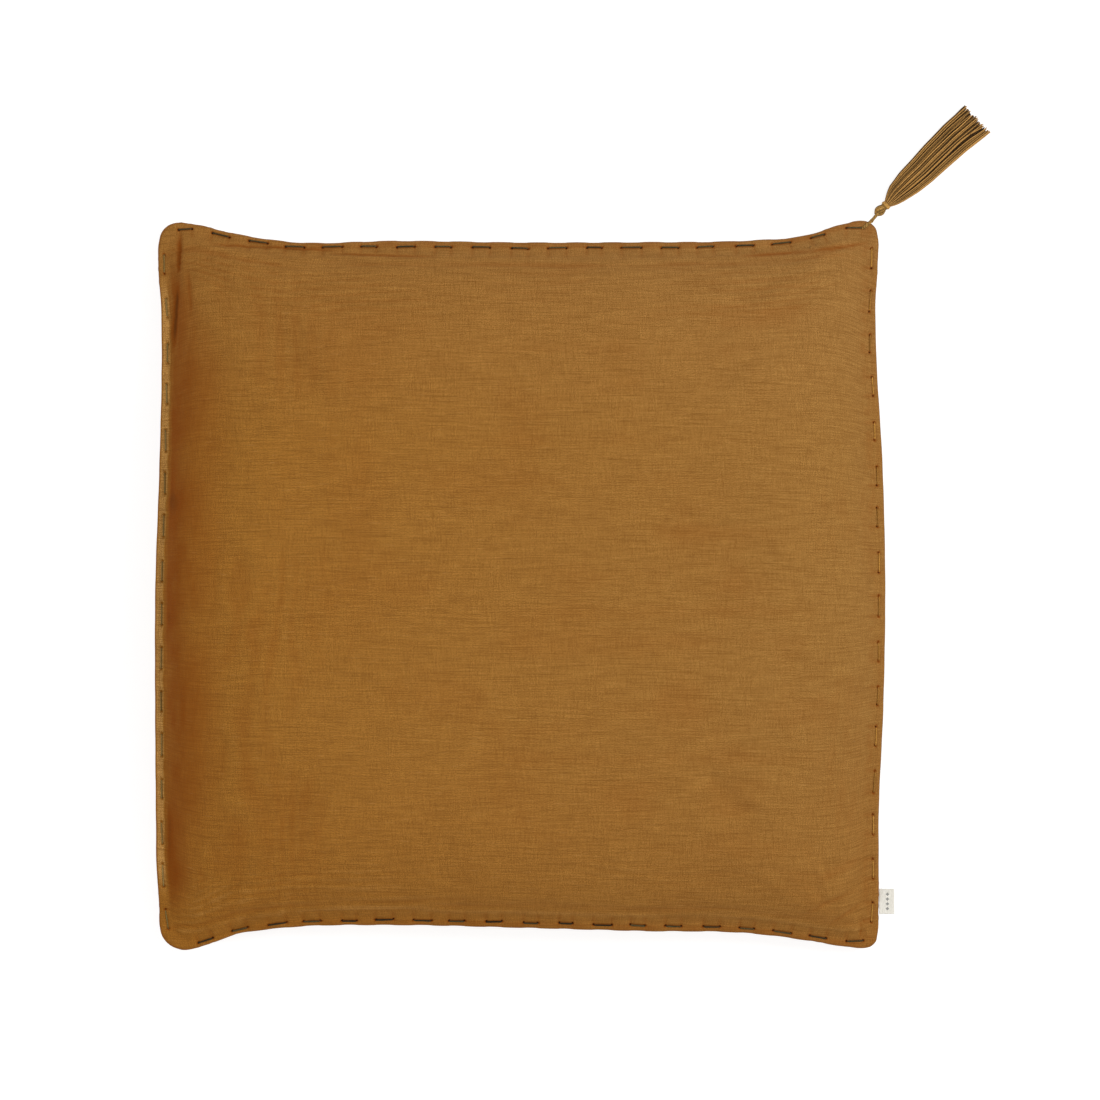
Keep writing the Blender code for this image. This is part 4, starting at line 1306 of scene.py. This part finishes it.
def make_tassel():
    material = yarn("tassel_yarn", rgb(50, 32, 10), rgb(204, 156, 82), 0.0026, 0.18)
    rng = random.Random(23)
    lip_top = seam_height(cornerness(COARSE[SPANS["right"][1] + 2][None])[0]) + LIP_HALF_THICKNESS
    root = np.array([
        (0.2862, 0.2976, lip_top - 0.0010),
        (0.2868, 0.2981, lip_top + 0.0008),
        (0.2882, 0.2994, lip_top + 0.0015),
        (0.2904, 0.3014, lip_top + 0.0012),
        (0.2922, 0.3030, lip_top - 0.0002),
        (0.2930, 0.3037, lip_top - 0.0022),
    ])
    spread, radius, pitch = CORD_PLIES
    plies = {"tones": [0.62, 0.42]}
    anchor = plied(smooth_through(root, 8, False), spread, radius, pitch, **plies)
    add_threads("tassel_root", [anchor], material, "cushion", "tassel_anchor")

    down = np.array((HEAD_AT - KNOT_AT).normalized())
    knot = np.array(KNOT_AT)
    side = np.cross(down, (0, 0, 1.0))
    side /= np.linalg.norm(side)
    other = np.cross(down, side)
    t = np.linspace(0, 1, 46)[:, None]
    turn = 2 * math.pi * 2.2 * t
    wrap = knot + 0.00105 * (np.cos(turn) * side + np.sin(turn) * other) + (t - 0.5) * 0.0016 * down
    bead = sweep(wrap[None], 0.00060, 8, tuple(down), [0.5])
    add_threads("tassel_bead", [bead], material, "corner_knot", "tassel_knot")

    start = knot + down * 0.0014
    end = np.array(HEAD_AT) - down * (HEAD_RADIUS + CORD_CLEARANCE)
    cord = start + np.linspace(0, 1, 26)[:, None] * (end - start)
    hanger = plied(cord, spread, radius, pitch, up=tuple(side), **plies)
    add_threads("tassel_hanger_cord", [hanger], material, "tassel_hanger", "tassel_cord")

    lines, tones = head_strands(rng)
    ring = sweep(coil_line(0.0017, -0.0039, -0.0028, 1.6)[None], 0.00044, 7, tones=[0.75])
    head = [sweep(lines, 0.00046, 6, tones=tones), ring]
    add_threads("tassel_bulb", head, material, "tassel", "tassel_head")
    neck = [sweep(coil_line(0.0029, 0.0052, 0.0094, 5.0, 0.0001)[None], 0.00048, 8, tones=[0.5])]
    neck.append(sweep(coil_line(0.0035, 0.0062, 0.0084, 2.6, 0.0002)[None], 0.00050, 8, tones=[0.95]))
    add_threads("neck_wrap", neck, material, "tassel", "tassel_neck_binding")
    lines, radii, tones = skirt_strands(rng)
    phases = [rng.uniform(0, 0.003) for _ in lines]
    loose = yarn("skirt_yarn", rgb(50, 32, 10), rgb(198, 148, 80), 0.03, 0.0, 0.2)
    skirt = sweep(lines, radii, 6, tones=tones, phases=phases)
    add_threads("skirt_strands", [skirt], loose, "tassel", "tassel_skirt")


# Tab and care label


def folded_ribbon(length, width, layer_gap, thickness, wave):
    """A ribbon that runs out, turns back on itself and returns: (verts, faces, cloth place)."""
    out = np.linspace(0, length - layer_gap, 16)
    turn = np.linspace(-math.pi / 2, math.pi / 2, 9)[1:-1]
    x = np.concatenate([out, length - layer_gap + layer_gap * np.cos(turn), out[::-1]])
    z = np.concatenate([np.full(16, -layer_gap), layer_gap * np.sin(turn), np.full(16, layer_gap)])
    line = np.column_stack([x, z])
    along = lengths_along(line)
    heading = np.gradient(line, axis=0)
    heading /= np.linalg.norm(heading, axis=1)[:, None]
    outwards = np.column_stack([heading[:, 1], -heading[:, 0]])
    rows = np.linspace(-width / 2, width / 2, 41)
    verts, place = [], []
    for face in (1, -1):
        profile = line + outwards * face * thickness / 2
        for y in rows:
            sway = wave * np.sin(profile[:, 0] / length * 1.6) * math.sin(y / width * 5.0)
            fray = 0.00012 * np.sin(along / 0.0007) * (abs(y) > width / 2 - 1e-6)
            edge = y + fray * math.copysign(1, y)
            verts.append(np.column_stack([profile[:, 0], edge, profile[:, 1] + sway]))
            place.append(np.column_stack([profile[:, 0], np.full((len(x), 2), (y, 0.1 * face))]))
    return np.vstack(verts), slab_faces(len(rows) - 1, len(x) - 1, -1), np.vstack(place)


def make_labels():
    low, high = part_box("side_label")
    middle = (low + high) / 2
    verts, faces, place = folded_ribbon(high.x - low.x, TAB_SIZE[1], 0.00026, 0.00034, 0.0002)
    verts += np.array((low.x, middle.y, middle.z))
    tab = mesh_object("folded_tab", verts, faces, ribbon(), {"cloth": place})
    finish_piece(tab, "side_tab", "tab_weave", "side_label")
    low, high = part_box("care_label")
    x, y = np.meshgrid(np.linspace(low.x, high.x, 25), np.linspace(low.y, high.y, 33))
    z = (low.z + high.z) / 2 + 0.0001 * np.sin((x - low.x) / 0.004)
    verts = np.column_stack([x.ravel(), y.ravel(), z.ravel()])
    satin = calico("care_satin_cloth", rgb(226, 226, 220), rgb(204, 204, 198))
    care = mesh_object("care_tag", verts, grid_faces(32, 24), satin)
    finish_piece(care, "cushion", "care_satin", "care_label")


# Zip


def tooth_coil(sign):
    """One side of a coil zip: a flattened spiral of monofilament along X."""
    pitch, steps = 0.0014, 10
    turns = 2 * ROW_END / pitch
    t = np.linspace(0, turns, int(turns * steps))
    angle = 2 * math.pi * t
    y = ZIP_Y + sign * (0.00118 + 0.00078 * np.cos(angle))
    z = TAPE_Z + 0.00072 * np.sin(angle)
    x = -ROW_END + pitch * t
    return np.column_stack([x, y, z])


def make_tape(name, sign, material, node):
    """A zip tape with a slight ripple between its stitches."""
    xs = np.linspace(-TAPE_END, TAPE_END, 301)
    ys = np.linspace(*TAPE_SPAN, 9)
    x, y = np.meshgrid(xs, ys)
    z = TAPE_Z + 0.00008 * np.sin(x / 0.0021) * step_up(y, 0.003, 0.006)
    upper = np.column_stack([x.ravel(), ZIP_Y + sign * y.ravel(), z.ravel() + TAPE_HALF_THICKNESS])
    lower = upper - np.array((0, 0, 2 * TAPE_HALF_THICKNESS))
    faces = slab_faces(len(ys) - 1, len(xs) - 1, sign)
    piece = mesh_object(name, np.vstack([upper, lower]), faces, material)
    finish_piece(piece, "cushion", "zip_tape", node)


def make_zip(nodes):
    tape, teeth, metal = tape_cloth(), nylon(), brass()
    for part, sign in (("main", 1), ("strip", -1)):
        make_tape(f"tape_{part}", sign, tape, f"zip_tape_{part}")
        verts, faces, _, _ = sweep(tooth_coil(sign)[None], 0.00032, 5)
        piece = mesh_object(f"tooth_coil_{part}", verts, faces, teeth)
        finish_piece(piece, "cushion", "zip_teeth", f"zip_teeth_{part}")
        stops = [nodes[f"zip_top_stop_{part}"]]
        if part == "main":
            stops += [nodes["zip_bottom_stop"], nodes["zip_slider"], nodes["zip_pull"]]
        for node in stops:
            node.data.materials.clear()
            node.data.materials.append(metal)


# Inner cushion


INSERT_INSET = 0.017
CASING_DEPTH = 0.0065  # how far the casing lies under the cover
ZIP_CHANNEL = 0.0036  # how much higher the casing lies over the zip
CASING_FLOOR = 0.0068


def insert_layer(name, side, sunk, material, slot, node, lumps):
    """A layer of the inner cushion, sunk below the casing's surface."""
    plan, depth, hem, z, faces = cover_shape(side, 40, 5, 1)
    shrink = 1 - (INSERT_INSET + sunk) / HALF_SIDE
    seam = seam_height(cornerness(plan))
    lift = np.where(hem, 0.0003, (z - seam) * side)
    lift = np.maximum(lift - CASING_DEPTH - sunk, 0.0004)
    climb = step_up(np.abs(depth), 0.0, 0.012)
    x, y = plan.T
    rough = lumps * (ripple(x / 0.035, y / 0.035, 91) + 0.5 * ripple(x / 0.012, y / 0.012, 93) - 1.5)
    z = seam + side * (lift + rough * climb * (lift > 0.004))
    if side < 0:
        channel = ZIP_CHANNEL * (1 - step_up(np.abs(y - ZIP_Y), 0.016, 0.026))
        z = np.maximum(z, CASING_FLOOR + channel)
    piece = mesh_object(name, np.column_stack([plan * shrink, z]), faces, material)
    finish_piece(piece, "cushion", slot, node)
    return piece


def make_insert():
    cotton = calico("casing_calico", rgb(222, 216, 204), rgb(198, 190, 176))
    fibre = calico("filling_wadding", rgb(240, 238, 232), rgb(216, 213, 205))
    insert_layer("casing_upper", 1, 0.0, cotton, "casing_cotton", "insert_casing_top", 0.0005)
    insert_layer("casing_lower", -1, 0.0, cotton, "casing_cotton", "insert_casing_bottom", 0.0003)
    upper = insert_layer("wadding_upper", 1, 0.0030, fibre, "filling_fibre", "insert_filling", 0.0010)
    lower = insert_layer("wadding_lower", -1, 0.0030, fibre, "filling_fibre", "insert_filling", 0.0006)


# Camera, light and floor

LENS = 0.400
SENSOR = 0.036
FRAME_WIDTH = 0.9167
FRAME_MIDDLE = (0.0254, 0.0296)
FOCUS_Z = 0.035
FLOOR_REACH = 60.0  # far enough that its end doesn't show from low angles


def make_camera():
    camera = bpy.data.cameras.new("camera")
    camera.lens = LENS * 1000
    camera.sensor_width = SENSOR * 1000
    obj = placed("camera", camera)
    obj.location = (*FRAME_MIDDLE, FOCUS_Z + FRAME_WIDTH * LENS / SENSOR)
    bpy.context.scene.camera = obj


def area_light(name, place, target, size, power):
    lamp = bpy.data.lights.new(name, "AREA")
    lamp.shape = "DISK"
    lamp.size = size
    lamp.energy = power
    obj = placed(name, lamp)
    obj.location = place
    obj.rotation_mode = "QUATERNION"
    obj.rotation_quaternion = (Vector(target) - Vector(place)).to_track_quat("-Z", "Y")


def make_studio():
    bm = bmesh.new()
    bmesh.ops.create_grid(bm, x_segments=8, y_segments=8, size=FLOOR_REACH)
    mesh = bpy.data.meshes.new("floor")
    bm.to_mesh(mesh)
    bm.free()
    mesh.materials.append(studio_floor())
    placed("floor", mesh)
    world = bpy.data.worlds.new("studio")
    world.use_nodes = True
    background = world.node_tree.nodes["Background"]
    background.inputs["Color"].default_value = (1.0, 1.0, 1.0, 1.0)
    background.inputs["Strength"].default_value = 0.66
    bpy.context.scene.world = world
    area_light("key", (1.30, 0.40, 2.10), (0.0, 0.0, 0.05), 0.9, 34)
    area_light("fill", (-1.90, -0.20, 1.60), (-0.2, 0.0, 0.05), 1.2, 7)
    bpy.context.scene.view_settings.view_transform = "Standard"


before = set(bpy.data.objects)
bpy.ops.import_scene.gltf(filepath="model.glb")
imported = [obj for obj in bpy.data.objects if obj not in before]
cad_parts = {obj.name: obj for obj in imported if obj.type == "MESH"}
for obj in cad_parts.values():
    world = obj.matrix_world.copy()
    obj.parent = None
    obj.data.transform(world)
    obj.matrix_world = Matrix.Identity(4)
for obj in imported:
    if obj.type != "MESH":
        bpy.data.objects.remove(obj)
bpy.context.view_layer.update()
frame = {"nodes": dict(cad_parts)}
make_camera()
make_studio()
cover_front_piece = make_cover()
make_edge_threads(cover_front_piece)
make_tassel()
make_labels()
make_zip(frame["nodes"])
make_insert()
